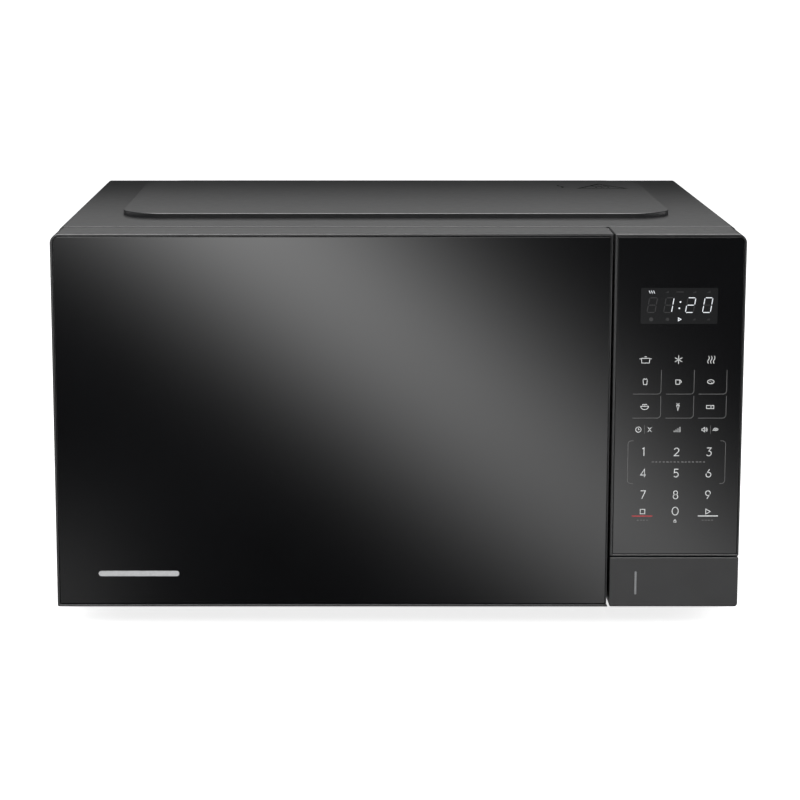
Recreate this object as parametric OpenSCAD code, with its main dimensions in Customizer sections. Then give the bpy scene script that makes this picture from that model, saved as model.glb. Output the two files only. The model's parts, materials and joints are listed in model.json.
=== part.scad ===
// Countertop microwave oven with a push-button door, a glass turntable and a touch control panel.
// Origin: on the worktop, under the middle of the oven's bounding box. +X to the oven's right as its
// user sees it, +Y to the back, +Z up. All sizes in millimetres.

/* [Body] */
// Width across the door and the control panel
body_w = 440; // [438:1:444]
// Depth from the door glass frame to the heads of the rear screws
body_d = 357; // [355:1:362]
// Height of the flat of the roof above the worktop
roof_z = 255.7; // [255.2:0.1:256.5]
// Height of the underside of the case above the worktop
foot_h = 7.5; // [7:0.1:8]
// Thickness of the outer sheet steel
sheet = 0.8; // [0.6:0.1:1]
// Radius of the roof's two long bends
bend_r = 3; // [2:0.5:5]
// Radius of the front's two upper corners
corner_r = 6; // [5:0.5:8]
// Rise of the flat raised panel in the roof
pad_rise = 3.3; // [2:0.1:3.5]

/* [Door and panel] */
// Depth of the door and control panel in front of the case
front_d = 43; // [42:0.5:44]
// Height of the door
door_h = 242.5; // [241:0.5:243]
// Width of the door
door_w = 355.1; // [354:0.1:355.5]
// Gap between the door and the control panel
door_gap = 1.8; // [1.5:0.1:2.2]
// Width of the plastic rim that shows round the door glass
rim = 1.4; // [1:0.1:1.6]
// Height of the door-opening button
button_h = 32.7; // [31:0.1:33]
// Travel of the door-opening button
button_travel = 6; // [4:0.5:6]

/* [Cavity and turntable] */
// Inside width of the oven cavity
cav_w = 302; // [298:1:304]
// Inside depth of the oven cavity
cav_d = 284; // [278:1:286]
// Inside height of the oven cavity
cav_h = 201; // [196:1:203]
// Diameter of the glass turntable tray
tray_d = 255; // [245:1:260]
// Diameter of the fan's blades
fan_d = 90; // [84:1:92]

/* [Hidden] */
$fn = 64;

// Main planes
x_l = -body_w / 2;
x_r = body_w / 2;
y_f = -body_d / 2;
screw_head = 2;
y_back = body_d / 2 - screw_head;
y_cab = y_f + front_d;
y_door = y_cab - 1;
cab_x = x_r - 0.25;
door_x1 = x_l + door_w;
panel_x0 = door_x1 + door_gap;
door_z0 = roof_z - door_h;
flange = 10;
base_top = foot_h + 2 * sheet;
seam = 0.8;
plate_t = 1.2;
rear_y = y_back - 2 * sheet;

// Raised panel in the roof
pad_x = 184.5;
pad_y0 = y_f + 91;
pad_y1 = y_f + 322;
pad_r = 28;

// Cavity
cav_t = 0.8;
cav_x0 = x_l + 23;
cav_x1 = cav_x0 + cav_w;
cav_y0 = y_cab + plate_t;
cav_y1 = cav_y0 + cav_d;
cav_z0 = 30.8;
cav_z1 = cav_z0 + cav_h;
tt_x = (cav_x0 + cav_x1) / 2;
tt_y = (cav_y0 + cav_y1) / 2;

// Hinge
hinge_x = x_l + 9;
hinge_y = y_door - 12;
pin_r = 3;
bush_bore = 3.06;
bush_r = 5;
tab_t = 2;
hinge_tab_r = 6.5;
hinge_pocket_r = 19;
up_tab_z = roof_z - 9.2;
low_tab_z = door_z0 + 7.3;

// Latch
hook_x0 = 119;
hook_x1 = 124;
hook_tip_y = y_cab + 21.5;
low_hook_z = 52;
up_hook_z = 196;
hook_h = 10;
paddle_up = 5;
paddle_down = 9;
barb = 3;
hook_lift = 3.3;
catch_gap = 0.4;
slot_x0 = 116.5;
slot_x1 = 126.5;

// Release lever
lever_y = y_cab + 9.5;
lever_z = 44;
lever_arm = 19;
lever_pin_r = 2;
lever_x0 = 121.4;
stem_x = 147;
stem_z = lever_z - lever_arm;
stem_half = 4;

// Door layers, front to back
glass_t = 3;
glass_y0 = y_f + 0.2;
ledge_y = glass_y0 + glass_t;
ledge_t = 2;
wall = 2.2;
cover_y = y_door - 3.5;
pan_y = y_door - 13.5;
pan_x0 = x_l + 16;
pan_x1 = 113;
pan_z0 = 26;
pan_z1 = 239;
win_x0 = -165;
win_x1 = 72;
win_z0 = 66;
win_z1 = 204;

// Fan and magnetron
fan_x = 162;
fan_z = 174;
fan_y0 = 134;
guide_x1 = cav_x1 + cav_t + 27;
mag_y = 48;
mag_z = 178;
lamp_y = -78;
lamp_z = 195;

// ---------------------------------------------------------------- helpers
// 2D rectangle with its own radius at each corner: bottom left, bottom right, top right, top left
module round_rect(lo, hi, r) {
    at = [lo, [hi[0], lo[1]], hi, [lo[0], hi[1]]];
    inward = [[1, 1], [-1, 1], [-1, -1], [1, -1]];
    difference() {
        rect(lo, hi);
        for (i = [0:3]) if (r[i] > 0)
            translate(at[i] + r[i] * inward[i] / 2) square(r[i], center = true);
    }
    for (i = [0:3]) if (r[i] > 0)
        intersection() {
            translate(at[i] + r[i] * inward[i] / 2) square(r[i], center = true);
            translate(at[i] + r[i] * inward[i]) circle(r[i]);
        }
}
module rect(lo, hi) { translate(lo) square(hi - lo); }
// A 2D outline drawn in X and Z, and given a depth in Y
module slab_xz(y0, y1) { translate([0, y1, 0]) rotate([90, 0, 0]) linear_extrude(y1 - y0) children(); }
// A 2D outline drawn in Y and Z, and given a width in X
module slab_yz(x0, x1) { translate([x0, 0, 0]) rotate([90, 0, 90]) linear_extrude(x1 - x0) children(); }
module slab_xy(z0, z1) { translate([0, 0, z0]) linear_extrude(z1 - z0) children(); }
module box(lo, hi) { translate(lo) cube(hi - lo); }
module cyl_x(x0, x1, y, z, r) { translate([x0, y, z]) rotate([0, 90, 0]) cylinder(h = x1 - x0, r = r); }
module cyl_y(y0, y1, x, z, r) { translate([x, y1, z]) rotate([90, 0, 0]) cylinder(h = y1 - y0, r = r); }
module cyl_z(z0, z1, x, y, r) { translate([x, y, z0]) cylinder(h = z1 - z0, r = r); }

// A coil spring along +Z from the origin, as one swept tube with closed ends
function coil_ring(t, turns, h, coil_r, wire_r, sides) =
    let (a = 360 * turns * t,
         c = [coil_r * cos(a), coil_r * sin(a), wire_r + t * (h - 2 * wire_r)])
    [for (i = [0:sides - 1]) let (b = 360 * i / sides)
        c + wire_r * (cos(b) * [cos(a), sin(a), 0] + sin(b) * [0, 0, 1])];
module coil_spring(h, coil_r, wire_r, turns) {
    sides = 6;
    steps = turns * 14;
    rings = [for (k = [0:steps]) each coil_ring(k / steps, turns, h, coil_r, wire_r, sides)];
    skin = [for (k = [0:steps - 1]) for (i = [0:sides - 1]) let (j = (i + 1) % sides)
        [k * sides + i, (k + 1) * sides + i, (k + 1) * sides + j, k * sides + j]];
    ends = [[for (i = [0:sides - 1]) i], [for (i = [sides - 1:-1:0]) steps * sides + i]];
    polyhedron(rings, concat(skin, ends));
}
// A bundle of wires along straight runs, with a clip at each bend
module wire(points, r) {
    for (i = [0:len(points) - 2]) {
        run = points[i + 1] - points[i];
        long = norm(run);
        translate(points[i])
            rotate([0, acos(run[2] / long), atan2(run[1], run[0])])
                cylinder(h = long, r = r);
        if (i > 0) translate(points[i]) cube(2.8 * r, center = true);
    }
}

// ---------------------------------------------------------------- case
module pad_outline(inset) {
    r = pad_r - inset;
    round_rect([-pad_x + inset, pad_y0 + inset], [pad_x - inset, pad_y1 - inset], [r, r, r, r]);
}
module case_section(half_w, z0, z1, r) { round_rect([-half_w, z0], [half_w, z1], [0, 0, r, r]); }
// Rows of upright vent slots, drawn in Y and Z
module vent_slots(y0, z0, columns, rows, pitch_y, pitch_z, w, h) {
    for (i = [0:columns - 1]) for (j = [0:rows - 1])
        translate([y0 + i * pitch_y, z0 + j * pitch_z]) square([w, h]);
}
rear_screw_at = [[-214, 60], [-214, 200], [214, 60], [214, 200], [-120, 250], [120, 250]];
module outer_cabinet() {
    color("#2c2d2e") difference() {
        union() {
            slab_xz(y_cab, y_back) case_section(cab_x, foot_h, roof_z, bend_r);
            slab_xy(roof_z - sheet, roof_z + pad_rise) pad_outline(0);
        }
        slab_xz(y_cab - 1, y_back - sheet)
            case_section(cab_x - sheet, foot_h + sheet, roof_z - sheet, bend_r - sheet);
        slab_xy(roof_z - 2 * sheet, roof_z + pad_rise - sheet) pad_outline(sheet);
        slab_xz(y_back - 2 * sheet, y_back + 1)
            rect([-cab_x + flange, foot_h - 1], [cab_x - flange, roof_z - flange]);
        box([-cab_x + flange, y_cab - 1, foot_h - 1], [cab_x - flange, y_back + 1, foot_h + 2 * sheet]);
        slab_yz(cab_x - 3, cab_x + 1) vent_slots(40, 100, 10, 3, 8, 30, 3, 24);
        slab_yz(-cab_x - 1, -cab_x + 3) vent_slots(-60, 34, 8, 1, 8, 30, 3, 24);
        for (p = rear_screw_at) cyl_y(y_back - 2, y_back + 1, p[0], p[1], 1.9);
    }
}
module base_plate() {
    feet_y = [y_f + 66.5, y_back - 36];
    color("silver") difference() {
        union() {
            box([-cab_x + sheet + 0.2, y_cab, foot_h + sheet], [cab_x - sheet - 0.2, rear_y, base_top]);
            for (x = [-150, -100, 0, 50])
                box([x, -100, base_top], [x + 6, 130, base_top + 1.2]);
        }
        for (x = [-170, 170]) for (y = feet_y) cyl_z(foot_h, base_top + 1, x, y, 3.1);
        for (i = [0:7]) for (j = [0:1])
            box([116 + i * 9, 60 + j * 34, foot_h], [120 + i * 9, 86 + j * 34, base_top + 1]);
        cyl_z(foot_h, base_top + 2, tt_x, tt_y, 30);
    }
}
module motor_access_cover() {
    color("silver") difference() {
        slab_xy(foot_h, foot_h + sheet)
            round_rect([tt_x - 38, tt_y - 38], [tt_x + 38, tt_y + 38], [8, 8, 8, 8]);
        for (s = [-1, 1]) cyl_z(foot_h - 1, base_top, tt_x + s * 15, tt_y, 4);
    }
}
module rubber_feet() {
    color("#1b1b1b") for (x = [-170, 170]) for (y = [y_f + 66.5, y_back - 36])
        difference() {
            union() {
                cyl_z(0, foot_h + sheet, x, y, 10);
                cyl_z(foot_h + sheet, base_top, x, y, 3);
                cyl_z(base_top, base_top + 2, x, y, 4.2);
            }
            cyl_z(-1, 3, x, y, 4);
        }
}
// The sheet that closes the case's inside, from its left edge to x1
module panel_outline(x1) {
    r = bend_r - sheet;
    round_rect([-cab_x + sheet + 0.3, base_top], [x1, roof_z - 1.3], [0, 0, x1 < cab_x - bend_r ? 0 : r, r]);
}
// Chord half width of a disc of radius r at height h
function chord(r, h) = sqrt(max(0, r * r - h * h));
module rear_panel() {
    field_r = fan_d / 2 + 4;
    color("silver") difference() {
        union() {
            slab_xz(rear_y, rear_y + sheet) panel_outline(cab_x - sheet - 0.3);
            for (z = [90, 170]) slab_xz(rear_y + sheet, rear_y + sheet + 1)
                round_rect([-170, z], [60, z + 14], [7, 7, 7, 7]);
        }
        for (j = [-4:4]) let (h = j * 10, c = chord(field_r, abs(h) + 2.5)) if (c > 6)
            for (s = [-1, 1])
                box([fan_x + (s < 0 ? -c : 3), rear_y - 1, fan_z + h - 2.5],
                    [fan_x + (s < 0 ? -3 : c), rear_y + 3, fan_z + h + 2.5]);
        for (i = [0:9])
            box([-185 + i * 9, rear_y - 1, 205], [-181 + i * 9, rear_y + 3, 232]);
        cyl_y(rear_y - 1, rear_y + 3, gland_x, gland_z, 7);
        for (p = rear_screw_at) cyl_y(rear_y - 1, rear_y + 3, p[0], p[1], 1.6);
    }
}
gland_x = 130;
gland_z = 48;
gland_bore = 3.8;
module cord_inlet_gland() {
    color("#161616") difference() {
        union() {
            cyl_y(rear_y + sheet, rear_y + sheet + 2.4, gland_x, gland_z, 9.5);
            cyl_y(rear_y - 9, rear_y + sheet, gland_x, gland_z, 6.9);
            cyl_y(rear_y - 9, rear_y - 0.2, gland_x, gland_z, 8.6);
        }
        cyl_y(rear_y - 10, rear_y + 10, gland_x, gland_z, gland_bore);
    }
}
// Pan-head screws through the rear flange: the shank stands in the panel's clear hole
module case_screws() {
    color("#3a3a3c") for (p = rear_screw_at) difference() {
        union() {
            cyl_y(y_back, y_back + screw_head, p[0], p[1], 3.6);
            cyl_y(rear_y - 7, y_back, p[0], p[1], 1.5);
        }
        box([p[0] - 2.4, y_back + 1, p[1] - 0.5], [p[0] + 2.4, y_back + 3, p[1] + 0.5]);
        box([p[0] - 0.5, y_back + 1, p[1] - 2.4], [p[0] + 0.5, y_back + 3, p[1] + 2.4]);
    }
}
low_slot = [low_hook_z - barb - 2, low_hook_z + hook_h + hook_lift + 2];
up_slot = [up_hook_z - paddle_down - 2, up_hook_z + hook_h + paddle_up + hook_lift + 2];
module front_plate() {
    color("#3b3d3f") difference() {
        slab_xz(y_cab, y_cab + plate_t) panel_outline(stem_x - 8);
        slab_xz(y_cab - 1, y_cab + 3)
            round_rect([cav_x0 + 4, cav_z0 + 5], [cav_x1 - 4, cav_z1 - 5], [8, 8, 8, 8]);
        for (s = [low_slot, up_slot]) box([slot_x0, y_cab - 1, s[0]], [slot_x1, y_cab + 3, s[1]]);
        for (z = [up_tab_z, low_tab_z])
            box([hinge_x - 7, y_cab - 1, z - 0.2], [hinge_x + 7, y_cab + 3, z + tab_t + 0.2]);
    }
}
module perforations(y0, z0, columns, rows, pitch, r) {
    for (i = [0:columns - 1]) for (j = [0:rows - 1]) translate([y0 + i * pitch, z0 + j * pitch]) circle(r);
}
module oven_cavity() {
    color("#a9acae") difference() {
        box([cav_x0 - cav_t, cav_y0, cav_z0 - cav_t], [cav_x1 + cav_t, cav_y1 + cav_t, cav_z1 + cav_t]);
        box([cav_x0, cav_y0 - 1, cav_z0], [cav_x1, cav_y1, cav_z1]);
        cyl_z(cav_z0 - 2, cav_z0 + 1, tt_x, tt_y, 6);
        slab_yz(cav_x1 - 1, cav_x1 + 2) {
            perforations(lamp_y - 10.5, lamp_z - 10.5, 4, 4, 7, 2);
            perforations(-50, 160, 3, 6, 8, 2);
            rect([mag_y - 28, mag_z - 20], [mag_y + 28, mag_z + 20]);
        }
        slab_yz(cav_x0 - 2, cav_x0 + 1) perforations(70, 190, 8, 3, 8, 2);
    }
}
// Steel bracket behind the front plate, with a tab and a pin inside the door's corner
module hinge(tab_z, up) {
    flange_z = up > 0 ? [tab_z, tab_z + 24] : [tab_z - 22, tab_z + tab_t];
    pin_z = up > 0 ? [tab_z + tab_t, tab_z + tab_t + 11] : [tab_z - 11, tab_z];
    back = y_cab + plate_t;
    box([hinge_x - 6.5, back, flange_z[0]], [hinge_x + 12, back + 2, flange_z[1]]);
    box([hinge_x - 6.5, hinge_y, tab_z], [hinge_x + 6.5, back + 1, tab_z + tab_t]);
    cyl_z(tab_z, tab_z + tab_t, hinge_x, hinge_y, hinge_tab_r);
    cyl_z(pin_z[0], pin_z[1], hinge_x, hinge_y, pin_r);
    if (up > 0) cyl_z(tab_z + tab_t, tab_z + tab_t + 1.8, hinge_x, hinge_y, 4.6);
}
module upper_hinge() { color("silver") hinge(up_tab_z, -1); }
module lower_hinge() { color("silver") hinge(low_tab_z, 1); }

// ---------------------------------------------------------------- door
// Space that each hinge tab sweeps inside the door's corner
module hinge_pockets() {
    for (z = [[up_tab_z - 1, up_tab_z + tab_t + 1], [low_tab_z - 1, low_tab_z + tab_t + 2]])
        intersection() {
            cyl_z(z[0], z[1], hinge_x, hinge_y, hinge_pocket_r);
            box([x_l - 1, hinge_y - 10, z[0]], [x_l + 60, y_cab + 9, z[1]]);
        }
}
module hinge_bosses() {
    for (z = [[up_tab_z - 13, up_tab_z - 1], [low_tab_z + tab_t + 2, low_tab_z + tab_t + 14]])
        box([x_l + 1, hinge_y - 9, z[0]], [pan_x0 - 0.5, cover_y, z[1]]);
}
module door_outline(inset, r) {
    round_rect([x_l + inset, door_z0 + inset], [door_x1 - inset, roof_z - inset],
               [max(0.6, 1.2 - inset), 0.6, 1, max(1, r - inset)]);
}
module door_frame() {
    top_shelf = up_hook_z + hook_h + 36;
    color("#232425") difference() {
        union() {
            difference() {
                slab_xz(y_f, cover_y) door_outline(0, corner_r);
                slab_xz(y_f - 1, ledge_y + 0.1) door_outline(rim, corner_r);
                slab_xz(ledge_y, cover_y + 1)
                    rect([x_l + 10, door_z0 + 10], [door_x1 - 10, roof_z - 10]);
                slab_xz(ledge_y + ledge_t, cover_y + 1) door_outline(wall, corner_r);
            }
            // lip behind, where the inner cover is seated
            slab_xz(cover_y - 2, cover_y) difference() {
                door_outline(wall - 0.5, corner_r);
                rect([x_l + 10, door_z0 + 8], [door_x1 - 6, roof_z - 8]);
            }
            hinge_bosses();
            // shelves that guide the latch bar: one is its stop, the other holds its spring
            box([hook_x0 - 3, y_door - 26, low_hook_z - 9], [door_x1 - 1, cover_y, low_hook_z - 7]);
            box([hook_x0 - 3, y_door - 26, top_shelf], [door_x1 - 1, cover_y, top_shelf + 2]);
        }
        hinge_pockets();
        for (z = [up_tab_z - 11.5, low_tab_z + tab_t + 1]) cyl_z(z, z + 11.5, hinge_x, hinge_y, bush_r);
    }
}
module hinge_bushes() {
    color("#d8d5c8") for (z = [up_tab_z - 11.5, low_tab_z + tab_t + 2.5]) difference() {
        cyl_z(z, z + 10, hinge_x, hinge_y, bush_r);
        cyl_z(z - 1, z + 11, hinge_x, hinge_y, bush_bore);
    }
}
module door_glass() {
    color("#08090a") slab_xz(glass_y0, ledge_y) door_outline(rim + 0.7, corner_r);
}
module door_nameplate() {
    color("silver") slab_xz(glass_y0 - 0.15, glass_y0)
        round_rect([-193, 33.5], [-141, 37], [1.7, 1.7, 1.7, 1.7]);
}
module ring_xz(lo, hi, lo_in, hi_in, r) {
    difference() {
        rect(lo, hi);
        round_rect(lo_in, hi_in, [r, r, r, r]);
    }
}
module door_choke_pan() {
    t = 0.8;
    color("#8f9396") {
        slab_xz(pan_y, pan_y + t)
            ring_xz([pan_x0, pan_z0], [pan_x1, pan_z1], [win_x0, win_z0], [win_x1, win_z1], 6);
        slab_xz(pan_y + t, cover_y) difference() {
            rect([pan_x0, pan_z0], [pan_x1, pan_z1]);
            rect([pan_x0 + t, pan_z0 + t], [pan_x1 - t, pan_z1 - t]);
        }
        slab_xz(pan_y + t, pan_y + 7) difference() {
            rect([pan_x0 + 11, pan_z0 + 11], [pan_x1 - 11, pan_z1 - 11]);
            rect([pan_x0 + 11 + t, pan_z0 + 11 + t], [pan_x1 - 11 - t, pan_z1 - 11 - t]);
        }
    }
}
module door_mesh_screen() {
    color("#1a1a1b") slab_xz(pan_y - 0.4, pan_y)
        rect([win_x0 - 6, win_z0 - 6], [win_x1 + 6, win_z1 + 6]);
}
module door_inner_cover() {
    lip = 3;
    color("#1d1e1f") difference() {
        union() {
            slab_xz(cover_y, y_door) ring_xz([x_l + 6, door_z0 + 1], [door_x1 - 2.5, roof_z - 3],
                [win_x0 - 4, win_z0 - 4], [win_x1 + 4, win_z1 + 4], 8);
            slab_xz(cover_y - 3, cover_y) ring_xz(
                [win_x0 - 4 - lip, win_z0 - 4 - lip], [win_x1 + 4 + lip, win_z1 + 4 + lip],
                [win_x0 - 4, win_z0 - 4], [win_x1 + 4, win_z1 + 4], 8);
        }
        hinge_pockets();
        box([hook_x0 - 1, y_door - 8, low_hook_z - barb - 1],
            [hook_x1 + 1, y_door + 1, low_hook_z + hook_h + hook_lift + 1]);
        box([hook_x0 - 1, y_door - 8, up_hook_z - 1],
            [hook_x1 + 1, y_door + 1, up_hook_z + hook_h + hook_lift + 1]);
    }
}
module door_inner_window() {
    color([0.8, 0.85, 0.9, 0.35]) slab_xz(cover_y - 4, cover_y - 3)
        rect([win_x0 - 7, win_z0 - 7], [win_x1 + 7, win_z1 + 7]);
}

// ---------------------------------------------------------------- latch
bar_y0 = y_door - 23;
bar_z0 = low_hook_z - 6.5;
bar_z1 = up_hook_z + hook_h + 16;
module latch_hooks() {
    color("#e2dfd4") {
        slab_yz(hook_x0, hook_x1) {
            rect([bar_y0, bar_z0], [y_door - 8, bar_z1]);
            // lower hook: an arm, with a nose that slopes up to the tip behind its barb
            polygon([[y_door - 8, low_hook_z], [hook_tip_y - 9, low_hook_z],
                     [hook_tip_y - 7, low_hook_z - barb], [hook_tip_y - 4, low_hook_z - barb],
                     [hook_tip_y, low_hook_z + 3], [hook_tip_y, low_hook_z + hook_h],
                     [y_door - 8, low_hook_z + hook_h]]);
            // upper hook: a taller paddle that meets two switches
            polygon([[y_door - 8, up_hook_z], [hook_tip_y - 7, up_hook_z],
                     [hook_tip_y - 5, up_hook_z - barb], [hook_tip_y - 3, up_hook_z - paddle_down],
                     [hook_tip_y, up_hook_z - paddle_down + 1],
                     [hook_tip_y, up_hook_z + hook_h + paddle_up],
                     [hook_tip_y - 3, up_hook_z + hook_h + paddle_up],
                     [hook_tip_y - 5, up_hook_z + hook_h], [y_door - 8, up_hook_z + hook_h]]);
        }
        cyl_z(bar_z1, bar_z1 + 8, (hook_x0 + hook_x1) / 2, bar_y0 + 7.5, 1.8);
    }
}
module latch_spring() {
    color("#b8babc") translate([(hook_x0 + hook_x1) / 2, bar_y0 + 7.5, bar_z1 + 0.1])
        coil_spring(up_hook_z + hook_h + 36 - bar_z1 - 0.2, 3, 0.45, 6);
}
// Plastic board behind the front plate that carries the catches, the switches and the lever
module interlock_bracket() {
    bx = slot_x1 + 1;
    back = y_cab + plate_t;
    low_catch = low_hook_z - barb - catch_gap;
    color("#c9c6ba") difference() {
        union() {
            box([bx, back, 22], [bx + 2.5, y_cab + 42, 226]);
            box([bx - 14, back, 22], [bx, back + 2, 27]);
            box([bx - 14, back, 216.5], [bx, back + 2, 226]);
            box([bx - 14, back, 110], [bx, back + 2, 160]);
            // catches under the hooks: the lower one leaves room beside it for the lever
            box([slot_x0 + 1, back, low_hook_z - barb - 9], [lever_x0 - 0.4, hook_tip_y - 9, low_catch]);
            box([bx - 14, back, low_hook_z - barb - 12], [bx, back + 2, low_catch]);
            box([slot_x0 + 1, back, up_hook_z - paddle_down - 8],
                [bx, hook_tip_y - 6, up_hook_z - paddle_down - catch_gap]);
            // floors under and over the switches
            box([slot_x0, y_cab + 24.5, 30], [bx, y_cab + 41, 32]);
            box([slot_x0, y_cab + 24.5, 62], [bx, y_cab + 41, 64]);
            box([slot_x0, y_cab + 24.5, 164.5], [bx, y_cab + 41, 166.5]);
        }
        cyl_x(bx - 1, bx + 4, lever_y, lever_z, lever_pin_r + 0.06);
    }
}
// One microswitch: a case with its plunger side to the front and three blade terminals behind
module microswitch(z0, plunger_z) {
    w = 10.2;
    x0 = slot_x1 + 1 - w;
    y0 = y_cab + 25;
    difference() {
        union() {
            box([x0, y0, z0], [x0 + w, y0 + 15.5, z0 + 27.6]);
            for (k = [4, 13.5, 23]) box([x0 + 3.5, y0 + 15.5, z0 + k], [x0 + 7, y0 + 22, z0 + k + 0.8]);
        }
        box([x0 + 3.2, y0 - 1, plunger_z - 1.9], [x0 + 7, y0 + 4, plunger_z + 1.9]);
    }
}
prim_z = up_hook_z + hook_h + 1.5;
mon_z = up_hook_z - 6;
sec_z = low_hook_z + 6;
module interlock_switches() {
    color("#5b2022") {
        microswitch(194.6, prim_z);
        microswitch(166.8, mon_z);
        microswitch(32.2, sec_z - 3);
    }
}
module plunger(z) {
    x0 = slot_x1 + 1 - 10.2;
    color("#f0ead8") box([x0 + 3.4, y_cab + 22.2, z - 1.7], [x0 + 6.8, y_cab + 27.5, z + 1.7]);
}
module primary_plunger() { plunger(prim_z); }
module monitor_plunger() { plunger(mon_z); }
module secondary_plunger() { plunger(sec_z - 3); }
// Bell crank: the button's stem pushes its lower arm back, and its rear arm lifts the lower hook
module release_lever() {
    x1 = slot_x1 + 0.7;
    arm_top = low_hook_z - barb - catch_gap;
    color("#d9d6ca") {
        cyl_x(lever_x0, x1, lever_y, lever_z, 4);
        slab_yz(lever_x0, x1) rect([lever_y, lever_z - 3], [lever_y + 12, arm_top]);
        cyl_x(slot_x1 + 3.8, stem_x + stem_half, lever_y, lever_z, 4);
        slab_yz(stem_x - stem_half, stem_x + stem_half)
            rect([lever_y - 3, stem_z - stem_half - 1], [lever_y + 1, lever_z]);
    }
    color("silver") cyl_x(x1 - 1, slot_x1 + 4.8, lever_y, lever_z, lever_pin_r);
}

// ---------------------------------------------------------------- control panel
panel_bottom = door_z0 + button_h + 1;
glass_x0 = panel_x0 + 1.8;
glass_x1 = x_r - 1.6;
glass_z0 = panel_bottom + 1.5;
glass_z1 = roof_z - 2.2;
panel_glass_t = 1.8;
wall_y = y_f + 2.4;
skirt = 1.8;
slack = 0.4;
disp_x0 = 153.7;
disp_z0 = roof_z - 57.3;
shoulder_y = y_f + 28.5;
low_x0 = panel_x0 + skirt + slack;
low_x1 = x_r - skirt - slack;
low_z0 = door_z0 + skirt + slack;
low_z1 = door_z0 + button_h - skirt - slack;
module panel_frame() {
    color("#232425") difference() {
        union() {
            // upper box round the glass
            difference() {
                slab_xz(y_f, y_cab - seam)
                    round_rect([panel_x0, panel_bottom], [x_r, roof_z], [0.6, 0.6, corner_r, 1]);
                slab_xz(y_f - 1, wall_y) round_rect([glass_x0 - 0.5, glass_z0 - 0.5],
                    [glass_x1 + 0.5, glass_z1 + 0.5], [1, 1, corner_r - 1.5, 1]);
                slab_xz(wall_y + 2, y_cab + 1) round_rect([panel_x0 + 2, panel_bottom + 2],
                    [x_r - 2, roof_z - 2], [1, 1, corner_r - 2, 1]);
            }
            for (x = [147, 210]) for (z = [59, 237]) cyl_y(wall_y + 1, board_y, x, z, 2.5);
            // lower box that the button slides over
            difference() {
                union() {
                    box([low_x0, y_f + 8.4, low_z0], [low_x1, y_cab, low_z1]);
                    box([panel_x0, shoulder_y, door_z0 + 1], [x_r, y_cab, panel_bottom + 0.5]);
                }
                box([low_x0 + 2, y_f + 7, low_z0 + 2], [low_x1 - 2, shoulder_y - 2, low_z1 - 2]);
                box([low_x0 + 2, shoulder_y, low_z0 + 2], [low_x1 - 2, y_cab + 1, low_z1 - 2]);
            }
        }
        box([disp_x0 - 1, wall_y - 1, disp_z0 - 1], [disp_x0 + 49.7, wall_y + 3, disp_z0 + 24]);
        box([160, wall_y - 1, 56], [190, wall_y + 3, 60]);
        box([stem_x - stem_half - 0.5, shoulder_y - 3, stem_z - stem_half - 0.5],
            [stem_x + stem_half + 0.5, shoulder_y + 1, stem_z + stem_half + 0.5]);
    }
}
module panel_glass() {
    color("#0a0b0c") slab_xz(y_f + 0.2, y_f + 0.2 + panel_glass_t)
        round_rect([glass_x0, glass_z0], [glass_x1, glass_z1], [0.6, 0.6, corner_r - 2, 0.6]);
}
module touch_membrane() {
    color("#c8b98a") slab_xz(y_f + 0.2 + panel_glass_t, wall_y) {
        rect([144, 68], [214, 192]);
        rect([164, 57], [186, 68]);
    }
}
board_y = y_f + 13;
module display_module() {
    color("#101314") box([disp_x0, wall_y + 0.8, disp_z0], [disp_x0 + 48.7, board_y, disp_z0 + 23]);
}
module control_board() {
    color("#1f5a34") box([143, board_y, 56], [214, board_y + 1.6, 240]);
    color("#222222") {
        box([146, board_y + 1.6, 66], [163, board_y + 17, 90]);
        box([167, board_y + 1.6, 66], [184, board_y + 17, 90]);
        box([190, board_y + 1.6, 64], [210, board_y + 10, 72]);
        cyl_y(board_y + 1.6, board_y + 9, 156, 208, 6);
    }
    color("#c9a23a") box([148, board_y + 1.6, 110], [182, board_y + 26, 142]);
    color("#2a3f8f") for (z = [160, 176]) cyl_y(board_y + 1.6, board_y + 16, 200, z, 6);
    color("#e6e2d6") box([150, board_y + 1.6, 160], [176, board_y + 9, 168]);
}
module open_button() {
    bx1 = x_r;
    color("#3a3c3d") {
        difference() {
            slab_xz(y_f, y_f + 20)
                round_rect([panel_x0 + 0.1, door_z0], [bx1, door_z0 + button_h], [1.2, 2.2, 0.6, 0.6]);
            slab_xz(y_f + 2, y_f + 21) rect([panel_x0 + 0.1 + skirt, door_z0 + skirt],
                [bx1 - skirt, door_z0 + button_h - skirt]);
            slab_xz(y_f - 1, y_f + 0.5) round_rect([153, door_z0 + 8], [154.6, door_z0 + 23.6],
                [0.79, 0.79, 0.79, 0.79]);
        }
        // stem that goes through to the release lever
        box([stem_x - stem_half, y_f + 2, stem_z - stem_half],
            [stem_x + stem_half, lever_y - 3.2, stem_z + stem_half]);
        cyl_y(y_f + 2, y_f + 14, 178, stem_z, 3);
    }
}
module button_spring() {
    color("#b8babc") translate([178, shoulder_y - 2.1, stem_z]) rotate([90, 0, 0])
        coil_spring(shoulder_y - 2.1 - y_f - 2.1, 4.2, 0.5, 7);
}

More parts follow.
